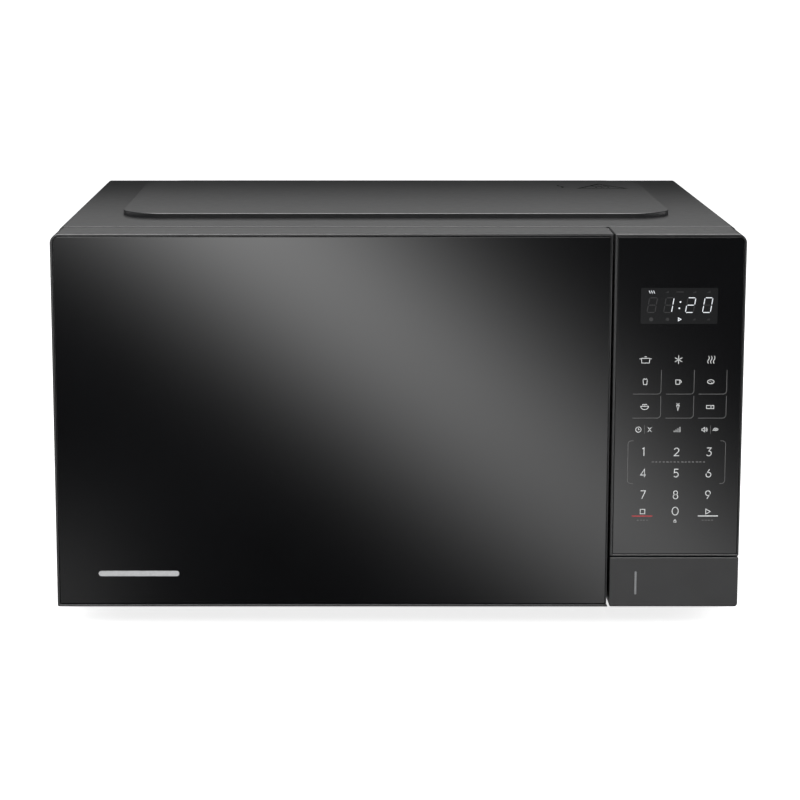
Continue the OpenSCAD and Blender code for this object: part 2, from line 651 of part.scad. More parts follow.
// ---------------------------------------------------------------- turntable
roller_r = 7;
roller_path = 98;
roller_z = cav_z0 + 0.2 + roller_r;
tray_z = roller_z + roller_r + 0.2;
module turntable_tray() {
    r = tray_d / 2;
    color([0.75, 0.85, 0.85, 0.4]) translate([tt_x, tt_y, tray_z]) {
        rotate_extrude() polygon([[0, 0], [r - 22, 0], [r - 12, 3], [r - 3, 10], [r, 11], [r, 13],
            [r - 3, 13.5], [r - 5, 13], [r - 14, 6.5], [r - 23, 4.5], [0, 4.5]]);
        for (a = [60, 180, 300]) rotate(a) translate([15, 0, -4]) cylinder(h = 4, r = 3.4);
    }
}
module drive_coupler() {
    z0 = cav_z0 + 1.2;
    color("#e9e6da") translate([tt_x, tt_y, z0]) difference() {
        union() {
            cylinder(h = tray_z - z0 - 0.2, r = 9);
            for (a = [0, 120, 240]) rotate(a) translate([0, -4, tray_z - z0 - 5.2]) cube([18, 8, 5]);
        }
        translate([0, 0, -1]) cylinder(h = 9, r = 3.5);
    }
}
module drive_shaft() {
    color("silver") cyl_z(17, cav_z0 + 9.2, tt_x, tt_y, 3.5);
}
module turntable_motor() {
    color("#c4c6c8") difference() {
        union() {
            cyl_z(base_top + 1.5, cav_z0 - cav_t - 1.5, tt_x, tt_y, 25);
            slab_xy(cav_z0 - cav_t - 1.5, cav_z0 - cav_t) difference() {
                union() {
                    translate([tt_x, tt_y]) circle(12);
                    rect([tt_x - 33, tt_y - 5], [tt_x + 33, tt_y + 5]);
                }
            }
            box([tt_x - 9, tt_y + 22, base_top + 3], [tt_x + 9, tt_y + 36, base_top + 14]);
        }
        cyl_z(16, 40, tt_x, tt_y, 3.56);
    }
}
module roller_ring() {
    color("#e9e6da") translate([tt_x, tt_y, roller_z]) {
        rotate_extrude() translate([84, -3]) square([6, 6]);
        for (a = [90, 210, 330]) rotate(a) rotate([0, 90, 0]) {
            translate([0, 0, 89]) cylinder(h = 15, r = 2);
            translate([0, 0, 89]) cylinder(h = 4, r = 3.4);
            translate([0, 0, 103]) cylinder(h = 1.6, r = 3.2);
        }
    }
}
module roller(a) {
    color("#f4f2ea") translate([tt_x, tt_y, roller_z]) rotate(a) rotate([0, 90, 0]) difference() {
        translate([0, 0, roller_path - 4]) cylinder(h = 8, r = roller_r);
        translate([0, 0, roller_path - 5]) cylinder(h = 10, r = 2.06);
    }
}
module roller_a() { roller(90); }
module roller_b() { roller(210); }
module roller_c() { roller(330); }

// ---------------------------------------------------------------- microwave source
module waveguide() {
    x0 = cav_x1 + cav_t;
    t = 1;
    color("silver") {
        difference() {
            box([x0, mag_y - 46, mag_z - 38], [guide_x1, mag_y + 50, mag_z + 38]);
            box([x0 - 1, mag_y - 46 + t, mag_z - 38 + t], [guide_x1 - t, mag_y + 50 - t, mag_z + 38 - t]);
            cyl_x(guide_x1 - 3, guide_x1 + 1, mag_y, mag_z, 9.5);
        }
    }
}
module mica_cover() {
    color("#b9ad8d") box([cav_x1 - 0.6, mag_y - 36, mag_z - 27], [cav_x1, mag_y + 36, mag_z + 27]);
}
mag_x0 = guide_x1;
mag_x1 = mag_x0 + 50;
module magnetron_yoke() {
    t = 1.6;
    color("silver") difference() {
        box([mag_x0, mag_y - 42, mag_z - 38], [mag_x1, mag_y + 42, mag_z + 38]);
        box([mag_x0 + t, mag_y - 43, mag_z - 38 + t], [mag_x1 - t, mag_y + 43, mag_z + 38 - t]);
        cyl_x(mag_x0 - 1, mag_x0 + 3, mag_y, mag_z, 9.5);
        cyl_x(mag_x1 - 3, mag_x1 + 1, mag_y, mag_z, 12);
    }
}
module magnetron_anode() {
    xa = mag_x0 + 1.6;
    xb = mag_x1 - 1.6;
    color("#b5764a") cyl_x(xa + 12.5, xb - 12.5, mag_y, mag_z, 19);
    color("#2d2d2f") for (x = [xa, xb - 12]) difference() {
        cyl_x(x, x + 12, mag_y, mag_z, 27);
        cyl_x(x - 1, x + 13, mag_y, mag_z, 9);
    }
    color("#c7cacc") {
        for (k = [0:3]) difference() {
            box([xa + 14.2 + k * 5.4, mag_y - 38, mag_z - 34], [xa + 15 + k * 5.4, mag_y + 38, mag_z + 34]);
            cyl_x(xa + 10, xb - 10, mag_y, mag_z, 19.1);
        }
        cyl_x(guide_x1 - 20, xa, mag_y, mag_z, 7);
    }
    color("#e8e4dc") cyl_x(xb, mag_x1 + 8, mag_y, mag_z, 7.5);
}
module magnetron_filter_box() {
    x1 = cab_x - 5;
    color("silver") difference() {
        box([mag_x1, mag_y - 30, mag_z - 30], [x1, mag_y + 30, mag_z + 30]);
        box([mag_x1 + 1, mag_y - 29, mag_z - 29], [x1 - 1, mag_y + 29, mag_z + 29]);
        cyl_x(mag_x1 - 1, mag_x1 + 3, mag_y, mag_z, 9);
    }
    color("#222222") box([mag_x1 + 10, mag_y - 44, mag_z - 12], [mag_x1 + 22, mag_y - 30, mag_z + 12]);
}
core_x0 = 130;
core_x1 = 204;
core_y0 = -86;
core_y1 = -36;
core_z0 = base_top + 2;
module transformer_core() {
    color("#4a4d50") {
        difference() {
            box([core_x0, core_y0, core_z0], [core_x1, core_y1, core_z0 + 66]);
            for (x = [core_x0 + 12, core_x1 - 26])
                box([x, core_y0 - 1, core_z0 + 12], [x + 14, core_y1 + 1, core_z0 + 54]);
        }
        box([core_x0 - 6, core_y0 + 6, base_top], [core_x1 + 6, core_y1 - 6, core_z0]);
    }
}
// One winding: a rounded ring round the core's middle limb
module winding(z0, z1, grow) {
    x0 = core_x0 + 25.7;
    x1 = core_x1 - 25.7;
    thick = 11 + grow;
    slab_xy(z0, z1) difference() {
        round_rect([x0 - thick, core_y0 - thick], [x1 + thick, core_y1 + thick], [6, 6, 6, 6]);
        rect([x0, core_y0 - 0.3], [x1, core_y1 + 0.3]);
    }
}
module transformer_windings() {
    color("#a5572b") winding(core_z0 + 13, core_z0 + 31, 1);
    color("#8b2f24") winding(core_z0 + 35, core_z0 + 53, 2);
}
cap_x = 190;
cap_z = 40;
module hv_capacitor() {
    color("#b9bcbf") {
        slab_xz(20, 105) round_rect([cap_x - 17, cap_z - 26], [cap_x + 17, cap_z + 26], [17, 17, 17, 17]);
        for (z = [-10, 10]) box([cap_x - 3, 10, cap_z + z - 0.5], [cap_x + 3, 20, cap_z + z + 0.5]);
    }
    // clamp band, with its foot on the base
    color("silver") {
        slab_xz(55, 67) difference() {
            round_rect([cap_x - 18, cap_z - 27], [cap_x + 18, cap_z + 27], [18, 18, 18, 18]);
            round_rect([cap_x - 17, cap_z - 26], [cap_x + 17, cap_z + 26], [17, 17, 17, 17]);
        }
        box([cap_x - 18, 55, base_top], [cap_x - 6, 67, cap_z - 26]);
    }
}
module hv_diode() {
    color("#1f2022") cyl_z(30, 46, 150, 30, 3);
    color("#c9cbcd") {
        cyl_z(base_top, 30, 150, 30, 0.8);
        cyl_z(46, 54, 150, 30, 0.8);
    }
}

// ---------------------------------------------------------------- cooling
module fan_shroud() {
    r = fan_d / 2 + 3.5;
    color("#d7d6d0") difference() {
        union() {
            box([fan_x - 52, fan_y0 + 3, fan_z - 52], [fan_x + 52, fan_y0 + 5, fan_z + 52]);
            cyl_y(fan_y0 + 5, rear_y - 4, fan_x, fan_z, r + 1.6);
            for (x = [fan_x - 52, fan_x + 42]) for (z = [fan_z - 52, fan_z + 42])
                box([x, fan_y0 + 5, z], [x + 10, rear_y, z + 10]);
        }
        cyl_y(fan_y0, rear_y + 1, fan_x, fan_z, r);
    }
    color("#d7d6d0") for (x = [fan_x - 27, fan_x + 22])
        box([x, fan_y0, fan_z - 52], [x + 5, fan_y0 + 3, fan_z + 52]);
}
module fan_motor() {
    color("#8f9193") difference() {
        box([fan_x - 28, fan_y0 - 22, fan_z - 38], [fan_x + 28, fan_y0 - 4, fan_z + 20]);
        cyl_y(fan_y0 - 23, fan_y0 - 3, fan_x, fan_z, 14);
        box([fan_x - 16, fan_y0 - 23, fan_z - 27], [fan_x + 16, fan_y0 - 3, fan_z - 18]);
    }
    color("#b8a24a") difference() {
        box([fan_x - 15, fan_y0 - 29, fan_z - 44], [fan_x + 15, fan_y0 - 22, fan_z - 19]);
        box([fan_x - 12, fan_y0 - 30, fan_z - 36], [fan_x + 12, fan_y0 - 21, fan_z - 30]);
    }
    color("silver") {
        // bearing bridge at the front, and posts to the shroud at the back
        difference() {
            box([fan_x - 26, fan_y0 - 30, fan_z - 6], [fan_x + 26, fan_y0 - 28, fan_z + 6]);
            cyl_y(fan_y0 - 31, fan_y0 - 27, fan_x, fan_z, 2.06);
        }
        for (x = [fan_x - 24.5, fan_x + 24.5]) {
            box([x - 1.5, fan_y0 - 28, fan_z - 4], [x + 1.5, fan_y0 - 22, fan_z + 4]);
            box([x - 2, fan_y0 - 4, fan_z - 4], [x + 2, fan_y0, fan_z + 4]);
        }
    }
}
module fan_rotor() {
    color("#9a9c9e") {
        cyl_y(fan_y0 - 22, fan_y0 - 4, fan_x, fan_z, 13.4);
        cyl_y(fan_y0 - 30.5, fan_y0 - 22, fan_x, fan_z, 2);
        cyl_y(fan_y0 - 4, fan_y0 + 11, fan_x, fan_z, 2);
    }
}
module fan_blade() {
    color("#e4e2da") difference() {
        union() {
            cyl_y(fan_y0 + 8, fan_y0 + 24, fan_x, fan_z, 12);
            translate([fan_x, fan_y0 + 16, fan_z]) for (a = [0:360 / 7:359]) rotate([0, a, 0])
                translate([0, 0, 10]) rotate([0, 0, 32])
                    translate([-15, -0.7, 0]) cube([30, 1.4, fan_d / 2 - 14]);
        }
        cyl_y(fan_y0 + 7, fan_y0 + 11, fan_x, fan_z, 2);
    }
}
// Hollow duct that leads air from the magnetron's fins to the holes in the cavity wall
module air_duct() {
    x0 = cav_x1 + cav_t;
    y0 = mag_y - 109;
    y1 = mag_y - 46.2;
    t = 1.5;
    color("#cfcdc6") difference() {
        box([x0, y0, mag_z - 37], [mag_x1, y1, mag_z + 37]);
        box([x0 - 1, y0 + t, mag_z - 37 + t], [mag_x1 - t, y1 + 1, mag_z + 37 - t]);
        translate([mag_x1, y0, 0]) rotate([0, 0, 45]) cube([34, 34, 600], center = true);
    }
}
module oven_lamp() {
    y = lamp_y;
    z = lamp_z;
    x0 = cav_x1 + cav_t;
    color("#dcdad2") difference() {
        box([x0, y - 14, z - 22], [x0 + 2, y + 14, z + 14]);
        cyl_x(x0 - 1, x0 + 3, y, z, 12.5);
    }
    color([1, 0.95, 0.8, 0.6]) translate([x0 + 12.5, y, z]) rotate([0, 90, 0]) rotate_extrude()
        polygon([[0, -9], [2.4, -9], [5.6, -7.3], [8, -4.4], [8.9, -0.8], [8.4, 3], [6.8, 6.2], [5, 8.4],
            [5, 10], [0, 10]]);
    color("#dcdad2") {
        cyl_x(x0 + 22, x0 + 36, y, z, 8);
        box([x0 + 24, y - 3, z - 22], [x0 + 26, y + 3, z - 7]);
        box([x0 + 1, y - 3, z - 22], [x0 + 26, y + 3, z - 20]);
    }
}
module line_filter() {
    color("#1f5a34") box([110, 118, 76], [166, 168, 77.6]);
    color("#2d2d2f") {
        box([114, 124, 77.6], [134, 142, 96]);
        box([138, 126, 77.6], [150, 134, 92]);
    }
    color("#e8e4dc") cyl_y(122, 150, 158, 83, 3);
    color("#b5764a") difference() {
        cyl_z(77.6, 88, 126, 156, 9);
        cyl_z(77, 89, 126, 156, 4);
    }
    color("silver") {
        box([110, 168, 70], [166, rear_y, 71.2]);
        for (x = [112, 160]) box([x, 150, 71.2], [x + 4, 168, 76]);
        box([110, 150, 70], [166, 168, 71.2]);
    }
}
module cutout_disc(x, y, z) {
    color("#1f2022") cyl_z(z, z + 6, x, y, 7);
    color("silver") for (s = [-1, 1]) box([x + s * 4 - 0.4, y - 3, z + 6], [x + s * 4 + 0.4, y + 3, z + 13]);
}
module thermal_cutouts() {
    cutout_disc(mag_x0 + 25, mag_y, mag_z + 38);
    cutout_disc(60, 60, cav_z1 + cav_t);
}
// Main runs of the wiring loom in the machine compartment
module wiring_harness() {
    hv_x = mag_x1 + 16;
    supply_x = 212;
    supply_z = 124;
    signal_z = 84;
    // diode to the magnetron's filter
    color("#b33a2a") wire([[150, 30, 54], [150, 30, 110], [hv_x, 30, 110], [hv_x, -6, 110],
        [hv_x, -6, mag_z], [hv_x, mag_y - 44, mag_z]], 1.6);
    // transformer to the capacitor
    color("#b33a2a") wire([[184, core_y1 + 13, 50], [184, -8, 50], [cap_x, -8, 50], [cap_x, 10, 50]], 1.6);
    // line filter to the control board
    color("#222222") wire([[163.6, 124, 77.6], [163.6, 124, supply_z], [supply_x, 124, supply_z],
        [supply_x, -110, supply_z], [supply_x, -110, 68], [200, -110, 68], [200, board_y + 10, 68]], 2.4);
    // relay on the board to the lower switch
    color("#e8e4dc") wire([[150, board_y + 17, signal_z], [150, -84, signal_z], [122.6, -84, signal_z],
        [122.6, -84, 55.6], [122.6, y_cab + 47, 55.6]], 1.6);
}

outer_cabinet();
base_plate();
rear_panel();
front_plate();
oven_cavity();
rubber_feet();
motor_access_cover();
case_screws();
cord_inlet_gland();
upper_hinge();
lower_hinge();
door_frame();
door_glass();
door_nameplate();
door_choke_pan();
door_mesh_screen();
door_inner_cover();
door_inner_window();
hinge_bushes();
latch_hooks();
latch_spring();
release_lever();
interlock_bracket();
interlock_switches();
primary_plunger();
monitor_plunger();
secondary_plunger();
panel_frame();
panel_glass();
touch_membrane();
display_module();
control_board();
open_button();
button_spring();
turntable_tray();
drive_coupler();
drive_shaft();
turntable_motor();
roller_ring();
roller_a();
roller_b();
roller_c();
waveguide();
mica_cover();
magnetron_yoke();
magnetron_anode();
magnetron_filter_box();
transformer_core();
transformer_windings();
hv_capacitor();
hv_diode();
fan_shroud();
fan_motor();
fan_rotor();
fan_blade();
air_duct();
oven_lamp();
line_filter();
thermal_cutouts();
wiring_harness();
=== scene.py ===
import json
import math

import bmesh
import bpy
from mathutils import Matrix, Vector


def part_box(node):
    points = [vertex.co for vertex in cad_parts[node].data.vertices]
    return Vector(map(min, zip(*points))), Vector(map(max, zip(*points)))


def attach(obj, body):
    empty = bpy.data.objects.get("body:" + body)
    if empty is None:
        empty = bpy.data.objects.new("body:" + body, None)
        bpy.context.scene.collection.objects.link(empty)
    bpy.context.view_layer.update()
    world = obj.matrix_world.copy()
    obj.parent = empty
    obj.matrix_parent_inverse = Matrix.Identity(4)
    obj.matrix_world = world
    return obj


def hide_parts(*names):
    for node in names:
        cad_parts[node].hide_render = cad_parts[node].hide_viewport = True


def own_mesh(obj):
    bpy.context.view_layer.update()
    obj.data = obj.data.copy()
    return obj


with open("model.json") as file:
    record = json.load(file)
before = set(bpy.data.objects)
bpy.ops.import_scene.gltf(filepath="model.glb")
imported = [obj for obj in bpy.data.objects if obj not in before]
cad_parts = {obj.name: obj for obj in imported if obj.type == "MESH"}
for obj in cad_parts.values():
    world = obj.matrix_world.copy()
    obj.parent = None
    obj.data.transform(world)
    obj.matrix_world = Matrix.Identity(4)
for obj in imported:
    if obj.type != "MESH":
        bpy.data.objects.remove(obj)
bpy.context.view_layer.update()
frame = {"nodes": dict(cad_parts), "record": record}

MM = 0.001
scene = bpy.context.scene


def box_mm(node):
    """Lowest and highest corner of a CAD node, in millimetres."""
    low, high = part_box(node)
    return low / MM, high / MM


# ------------------------------------------------------------------ camera
CAMERA_AT = Vector((-22.5, -1700.9, 434.3))
CAMERA_TILT = 79.927
CAMERA_LENS = 109.29
CAMERA_SHIFT = (0.0466, -0.0281)


def add_camera():
    data = bpy.data.cameras.new("camera")
    data.lens = CAMERA_LENS
    data.sensor_width = 36
    data.shift_x, data.shift_y = CAMERA_SHIFT
    data.clip_end = 200
    camera = bpy.data.objects.new("camera", data)
    camera.location = CAMERA_AT * MM
    camera.rotation_euler = (math.radians(CAMERA_TILT), 0, 0)
    scene.collection.objects.link(camera)
    scene.camera = camera


add_camera()
scene.view_settings.view_transform = "Standard"


# ------------------------------------------------------------------ materials
class Nodes:
    """A material with its shader, and short calls that add the nodes behind it."""

    def __init__(self, name, colour, rough, metal=0.0):
        self.mat = bpy.data.materials.new(name)
        self.mat.use_nodes = True
        self.mat.diffuse_color = (*colour, 1)
        self.tree = self.mat.node_tree
        self.shader = self.tree.nodes["Principled BSDF"]
        self.shader.inputs["Metallic"].default_value = metal
        self.shader.inputs["Roughness"].default_value = rough
        self.colour, self.rough = colour, rough
        self.place = self.add("ShaderNodeTexCoord").outputs["Object"]

    def add(self, kind, **values):
        node = self.tree.nodes.new(kind)
        for key, value in values.items():
            setattr(node, key, value)
        return node

    def link(self, a, b):
        self.tree.links.new(a, b)

    def stretched(self, scale):
        """The object's place, stretched by a scale along each axis."""
        node = self.add("ShaderNodeMapping")
        node.inputs["Scale"].default_value = scale
        self.link(self.place, node.inputs["Vector"])
        return node.outputs["Vector"]

    def noise(self, per_metre, detail=3.0, where=None):
        node = self.add("ShaderNodeTexNoise")
        node.inputs["Scale"].default_value = per_metre
        node.inputs["Detail"].default_value = detail
        self.link(where or self.place, node.inputs["Vector"])
        return node.outputs["Fac"]

    def spread(self, value, low, high):
        """A noise value laid out between low and high."""
        node = self.add("ShaderNodeMapRange")
        node.inputs["From Min"].default_value = 0.3
        node.inputs["From Max"].default_value = 0.7
        node.inputs["To Min"].default_value = low
        node.inputs["To Max"].default_value = high
        self.link(value, node.inputs["Value"])
        return node.outputs["Result"]

    def mottle(self, value, amount):
        """Base colour that drifts by a share either way."""
        node = self.add("ShaderNodeMix", data_type="RGBA")
        node.inputs["A"].default_value = (*[c * (1 - amount) for c in self.colour], 1)
        node.inputs["B"].default_value = (*[min(1, c * (1 + amount)) for c in self.colour], 1)
        self.link(self.spread(value, 0, 1), node.inputs["Factor"])
        self.link(node.outputs["Result"], self.shader.inputs["Base Color"])

    def uneven_gloss(self, value, amount):
        low, high = self.rough - amount, self.rough + amount
        self.link(self.spread(value, max(0.01, low), high), self.shader.inputs["Roughness"])

    def bump(self, value, height_mm):
        node = self.add("ShaderNodeBump")
        node.inputs["Strength"].default_value = 1.0
        node.inputs["Distance"].default_value = height_mm * MM
        self.link(value, node.inputs["Height"])
        self.link(node.outputs["Normal"], self.shader.inputs["Normal"])


def paint(name, colour, rough, peel=0.012, drift=0.12):
    """Baked enamel: slow drift of tone and a fine orange peel."""
    n = Nodes(name, colour, rough)
    n.mottle(n.noise(18, 4), drift)
    n.uneven_gloss(n.noise(150, 3), 0.014)
    n.bump(n.noise(900, 2), peel)
    return n.mat


def moulding(name, colour, rough, grain=0.02, drift=0.1):
    """Moulded plastic: a spark-eroded grain and a little unevenness of gloss."""
    n = Nodes(name, colour, rough)
    n.mottle(n.noise(35, 3), drift)
    n.uneven_gloss(n.noise(220, 3), 0.04)
    n.bump(n.noise(2600, 3), grain)
    return n.mat


def rolled_metal(name, colour, rough, along=(14, 900, 900), height=0.004, drift=0.14):
    """Sheet metal, with the fine lines of its rolling along one axis."""
    n = Nodes(name, colour, rough, 1.0)
    lines = n.noise(1, 3, n.stretched(along))
    n.mottle(n.noise(45, 5), drift)
    n.uneven_gloss(lines, 0.07)
    n.bump(lines, height)
    return n.mat


def spangled_zinc(name):
    """Zinc-plated sheet: soft crystal patches over a grey metal."""
    n = Nodes(name, (0.52, 0.53, 0.54), 0.36, 1.0)
    cells = n.add("ShaderNodeTexVoronoi")
    cells.inputs["Scale"].default_value = 210
    n.link(n.place, cells.inputs["Vector"])
    n.mottle(cells.outputs["Color"], 0.09)
    n.uneven_gloss(n.noise(300, 4), 0.08)
    n.bump(n.noise(900, 2), 0.006)
    return n.mat


def black_glass():
    """Back-painted glass: polished, with faint wipe marks in its gloss."""
    n = Nodes("black_glass", (0.0042, 0.0043, 0.0047), 0.035)
    n.shader.inputs["IOR"].default_value = 1.5
    n.mottle(n.noise(9, 3), 0.15)
    n.uneven_gloss(n.noise(1, 4, n.stretched((26, 26, 7))), 0.012)
    return n.mat


def clear_glass(name, tint, rough):
    """Clear glass or film, with a faint waviness."""
    n = Nodes(name, tint, rough)
    n.shader.inputs["Transmission Weight"].default_value = 0.95
    n.shader.inputs["IOR"].default_value = 1.5
    n.mottle(n.noise(30, 3), 0.04)
    n.bump(n.noise(90, 2), 0.02)
    return n.mat


def wound_copper():
    """Enamelled winding wire, in layers that show as fine ridges."""
    n = Nodes("copper_winding", (0.44, 0.16, 0.06), 0.32, 0.75)
    turns = n.add("ShaderNodeTexWave", wave_type="BANDS", bands_direction="Z")
    turns.inputs["Scale"].default_value = 260
    turns.inputs["Distortion"].default_value = 0.6
    n.link(n.place, turns.inputs["Vector"])
    n.mottle(n.noise(120, 4), 0.3)
    n.uneven_gloss(n.noise(500, 2), 0.08)
    n.bump(turns.outputs["Fac"], 0.25)
    return n.mat


def laminated_steel(name, axis, colour=(0.16, 0.165, 0.17)):
    """Stacked laminations: fine lines across the stack, with varnish that dulls some of them."""
    n = Nodes(name, colour, 0.42, 0.9)
    sheets = n.add("ShaderNodeTexWave", wave_type="BANDS", bands_direction=axis)
    sheets.inputs["Scale"].default_value = 320
    sheets.inputs["Distortion"].default_value = 0.3
    n.link(n.place, sheets.inputs["Vector"])
    n.mottle(n.noise(50, 5), 0.3)
    n.uneven_gloss(n.noise(180, 3), 0.1)
    n.bump(sheets.outputs["Fac"], 0.12)
    return n.mat


def mica():
    """A sheet of mica: cloudy streaks and a flaky face."""
    n = Nodes("mica", (0.42, 0.37, 0.25), 0.3)
    n.mottle(n.noise(1, 6, n.stretched((40, 60, 160))), 0.35)
    n.uneven_gloss(n.noise(240, 3), 0.12)
    n.bump(n.noise(140, 5), 0.03)
    return n.mat


def circuit_board():
    """Solder mask with the faint relief of the tracks under it."""
    n = Nodes("green_board", (0.012, 0.09, 0.032), 0.34)
    tracks = n.add("ShaderNodeTexBrick")
    tracks.inputs["Scale"].default_value = 170
    tracks.inputs["Mortar Size"].default_value = 0.012
    n.link(n.stretched((1, 1, 2.4)), tracks.inputs["Vector"])
    n.mottle(n.noise(400, 2), 0.3)
    n.uneven_gloss(n.noise(90, 3), 0.06)
    n.bump(tracks.outputs["Fac"], 0.02)
    return n.mat


def glow(name, colour, strength, drift=0.06):
    """An even glow from behind smooth glass, a little uneven over its area: real light for lit figures,
    painted light where it is put on dark parts.
    """
    n = Nodes(name, tuple(0.2 * c for c in colour), 0.05)
    n.mottle(n.noise(400, 2), drift)
    lit = n.add("ShaderNodeMix", data_type="RGBA")
    lit.inputs["A"].default_value = (*[c * (1 - drift) for c in colour], 1)
    lit.inputs["B"].default_value = (*colour, 1)
    n.link(n.noise(260, 3), lit.inputs["Factor"])
    n.link(lit.outputs["Result"], n.shader.inputs["Emission Color"])
    n.shader.inputs["Emission Strength"].default_value = strength
    return n.mat


def print_ink(name, colour, rough=0.5):
    """Screen-printed ink, slightly mottled by its mesh."""
    n = Nodes(name, colour, rough)
    n.mottle(n.noise(900, 2), 0.1)
    n.uneven_gloss(n.noise(500, 2), 0.06)
    return n.mat


def roof_ink():
    """Dead-flat dark ink, which stays dark where the roof round it shines."""
    material = print_ink("roof_mark_ink", (0.003, 0.003, 0.003), 0.8)
    material.node_tree.nodes["Principled BSDF"].inputs["Specular IOR Level"].default_value = 0.05
    return material


MATERIALS = {
    "cabinet_steel": paint("cabinet_steel", (0.017, 0.0175, 0.0185), 0.33, 0.006, 0.08),
    "front_enamel": paint("front_enamel", (0.045, 0.046, 0.049), 0.4),
    "cavity_enamel": paint("cavity_enamel", (0.47, 0.48, 0.49), 0.36, 0.02, 0.06),
    "choke_steel": paint("choke_steel", (0.19, 0.195, 0.2), 0.45),
    "screen_steel": paint("screen_steel", (0.012, 0.012, 0.013), 0.5),
    "zinc_steel": spangled_zinc("zinc_steel"),
    "screw_steel": rolled_metal("screw_steel", (0.1, 0.1, 0.105), 0.36, (400, 400, 400)),
    "spring_steel": rolled_metal("spring_steel", (0.5, 0.51, 0.53), 0.26, (300, 900, 300)),
    "machined_steel": rolled_metal("machined_steel", (0.55, 0.55, 0.56), 0.22, (60, 60, 1800)),
    "plated_can": rolled_metal("plated_can", (0.58, 0.59, 0.6), 0.3, (50, 50, 800)),
    "capacitor_can": rolled_metal("capacitor_can", (0.6, 0.61, 0.62), 0.26, (700, 20, 700)),
    "lamination_steel": laminated_steel("lamination_steel", "Y"),
    "core_steel": laminated_steel("core_steel", "Y", (0.11, 0.115, 0.12)),
    "bright_foil": rolled_metal("bright_foil", (0.72, 0.72, 0.73), 0.3, (40, 300, 300), 0.0005, 0.05),
    "copper_and_fins": rolled_metal("copper_and_fins", (0.6, 0.56, 0.52), 0.34, (900, 30, 900)),
    "copper_winding": wound_copper(),
    "front_plastic": moulding("front_plastic", (0.021, 0.0212, 0.022), 0.36, 0.006),
    "black_nylon": moulding("black_nylon", (0.014, 0.014, 0.014), 0.5),
    "foot_rubber": moulding("foot_rubber", (0.012, 0.012, 0.012), 0.68, 0.04),
    "ivory_plastic": moulding("ivory_plastic", (0.66, 0.63, 0.54), 0.42),
    "grey_plastic": moulding("grey_plastic", (0.56, 0.555, 0.53), 0.44),
    "switch_case": moulding("switch_case", (0.1, 0.022, 0.02), 0.46),
    "black_epoxy": moulding("black_epoxy", (0.016, 0.016, 0.017), 0.4),
    "display_black": moulding("display_black", (0.01, 0.011, 0.012), 0.3),
    "membrane_film": moulding("membrane_film", (0.42, 0.36, 0.2), 0.4, 0.004),
    "lamp_ceramic": moulding("lamp_ceramic", (0.66, 0.64, 0.58), 0.5),
    "wire_sheath": moulding("wire_sheath", (0.3, 0.03, 0.02), 0.42, 0.004),
    "black_glass": black_glass(),
    "clear_film": clear_glass("clear_film", (0.86, 0.9, 0.9), 0.06),
    "tray_glass": clear_glass("tray_glass", (0.9, 0.96, 0.95), 0.03),
    "green_board": circuit_board(),
    "mica": mica(),
}


def dress_cad_nodes():
    """Each node gets the finish of the slot that the record gives it."""
    slot_of = {row["node"]: row["material_slot"] for row in frame["record"]["subparts"]}
    for name, obj in frame["nodes"].items():
        obj.data.materials.clear()
        obj.data.materials.append(MATERIALS[slot_of[name]])
    return slot_of


SLOT_OF = dress_cad_nodes()


# ------------------------------------------------------------------ mesh helpers
WELD = 0.004          # corners this close are one corner
FLAT_WITHIN = 0.6     # degrees between faces that are joined up as one
SHARP_FROM = 32       # degrees between faces from which an edge is rounded
ON_PLANE = 0.02       # how far off a plane a corner may be and still lie in it


def finished(name, bm, body, slot, material=None, crease=38):
    """Turns a bmesh in millimetres into a piece that rides on a body."""
    bmesh.ops.recalc_face_normals(bm, faces=bm.faces)
    bmesh.ops.scale(bm, vec=(MM, MM, MM), verts=bm.verts)
    mesh = bpy.data.meshes.new(name)
    bm.to_mesh(mesh)
    bm.free()
    mesh.shade_smooth()
    mesh.set_sharp_from_angle(angle=math.radians(crease))
    mesh.materials.append(material or MATERIALS[slot])
    piece = bpy.data.objects.new(name, mesh)
    scene.collection.objects.link(piece)
    even = piece.modifiers.new("even_faces", "WEIGHTED_NORMAL")
    even.keep_sharp = True
    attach(piece, body)
    return piece


def body_of_node(node):
    bodies = frame["record"]["behaviour"]["bodies"]
    return next(body for body, members in bodies.items() if node in members)


def any_edge(edge):
    return True


def sharp_edges(bm, angle, keep=any_edge):
    return [e for e in bm.edges if len(e.link_faces) == 2
            and e.calc_face_angle(0) > math.radians(angle) and keep(e)]


def clean_copy(node):
    """The node's mesh in millimetres, welded, with its flat faces joined up."""
    bm = bmesh.new()
    bm.from_mesh(frame["nodes"][node].data)
    bmesh.ops.scale(bm, vec=(1 / MM, 1 / MM, 1 / MM), verts=bm.verts)
    bmesh.ops.remove_doubles(bm, verts=bm.verts, dist=WELD)
    bmesh.ops.dissolve_limit(bm, angle_limit=math.radians(FLAT_WITHIN), verts=bm.verts,
                             edges=bm.edges)
    return bm


def round_off(bm, edges, width, segments, clamp=False):
    bmesh.ops.bevel(bm, geom=edges, offset=width, offset_type="OFFSET", segments=segments,
                    profile=0.5, affect="EDGES", clamp_overlap=clamp)


def on_front(node, skip=lambda place: False):
    """Picks the outward edges in the node's front plane, but none that lies wholly where skip says."""
    front_y = box_mm(node)[0].y
    return lambda e: (e.is_convex and all(abs(v.co.y - front_y) < ON_PLANE for v in e.verts)
                      and not all(skip(v.co) for v in e.verts))


def softened(name, node, width, segments=2, first=None, where=None):
    """A piece with the node's shape, shown in its place, with its sharp edges rounded.

    where picks the edges; without it every sharp edge is rounded, as far as its neighbours allow.
    """
    bm = clean_copy(node)
    if first:
        first(bm)
    edges = sharp_edges(bm, SHARP_FROM, where or any_edge)
    round_off(bm, edges, width, segments, clamp=where is None)
    piece = finished(name, bm, body_of_node(node), SLOT_OF[node])
    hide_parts(node)
    return piece


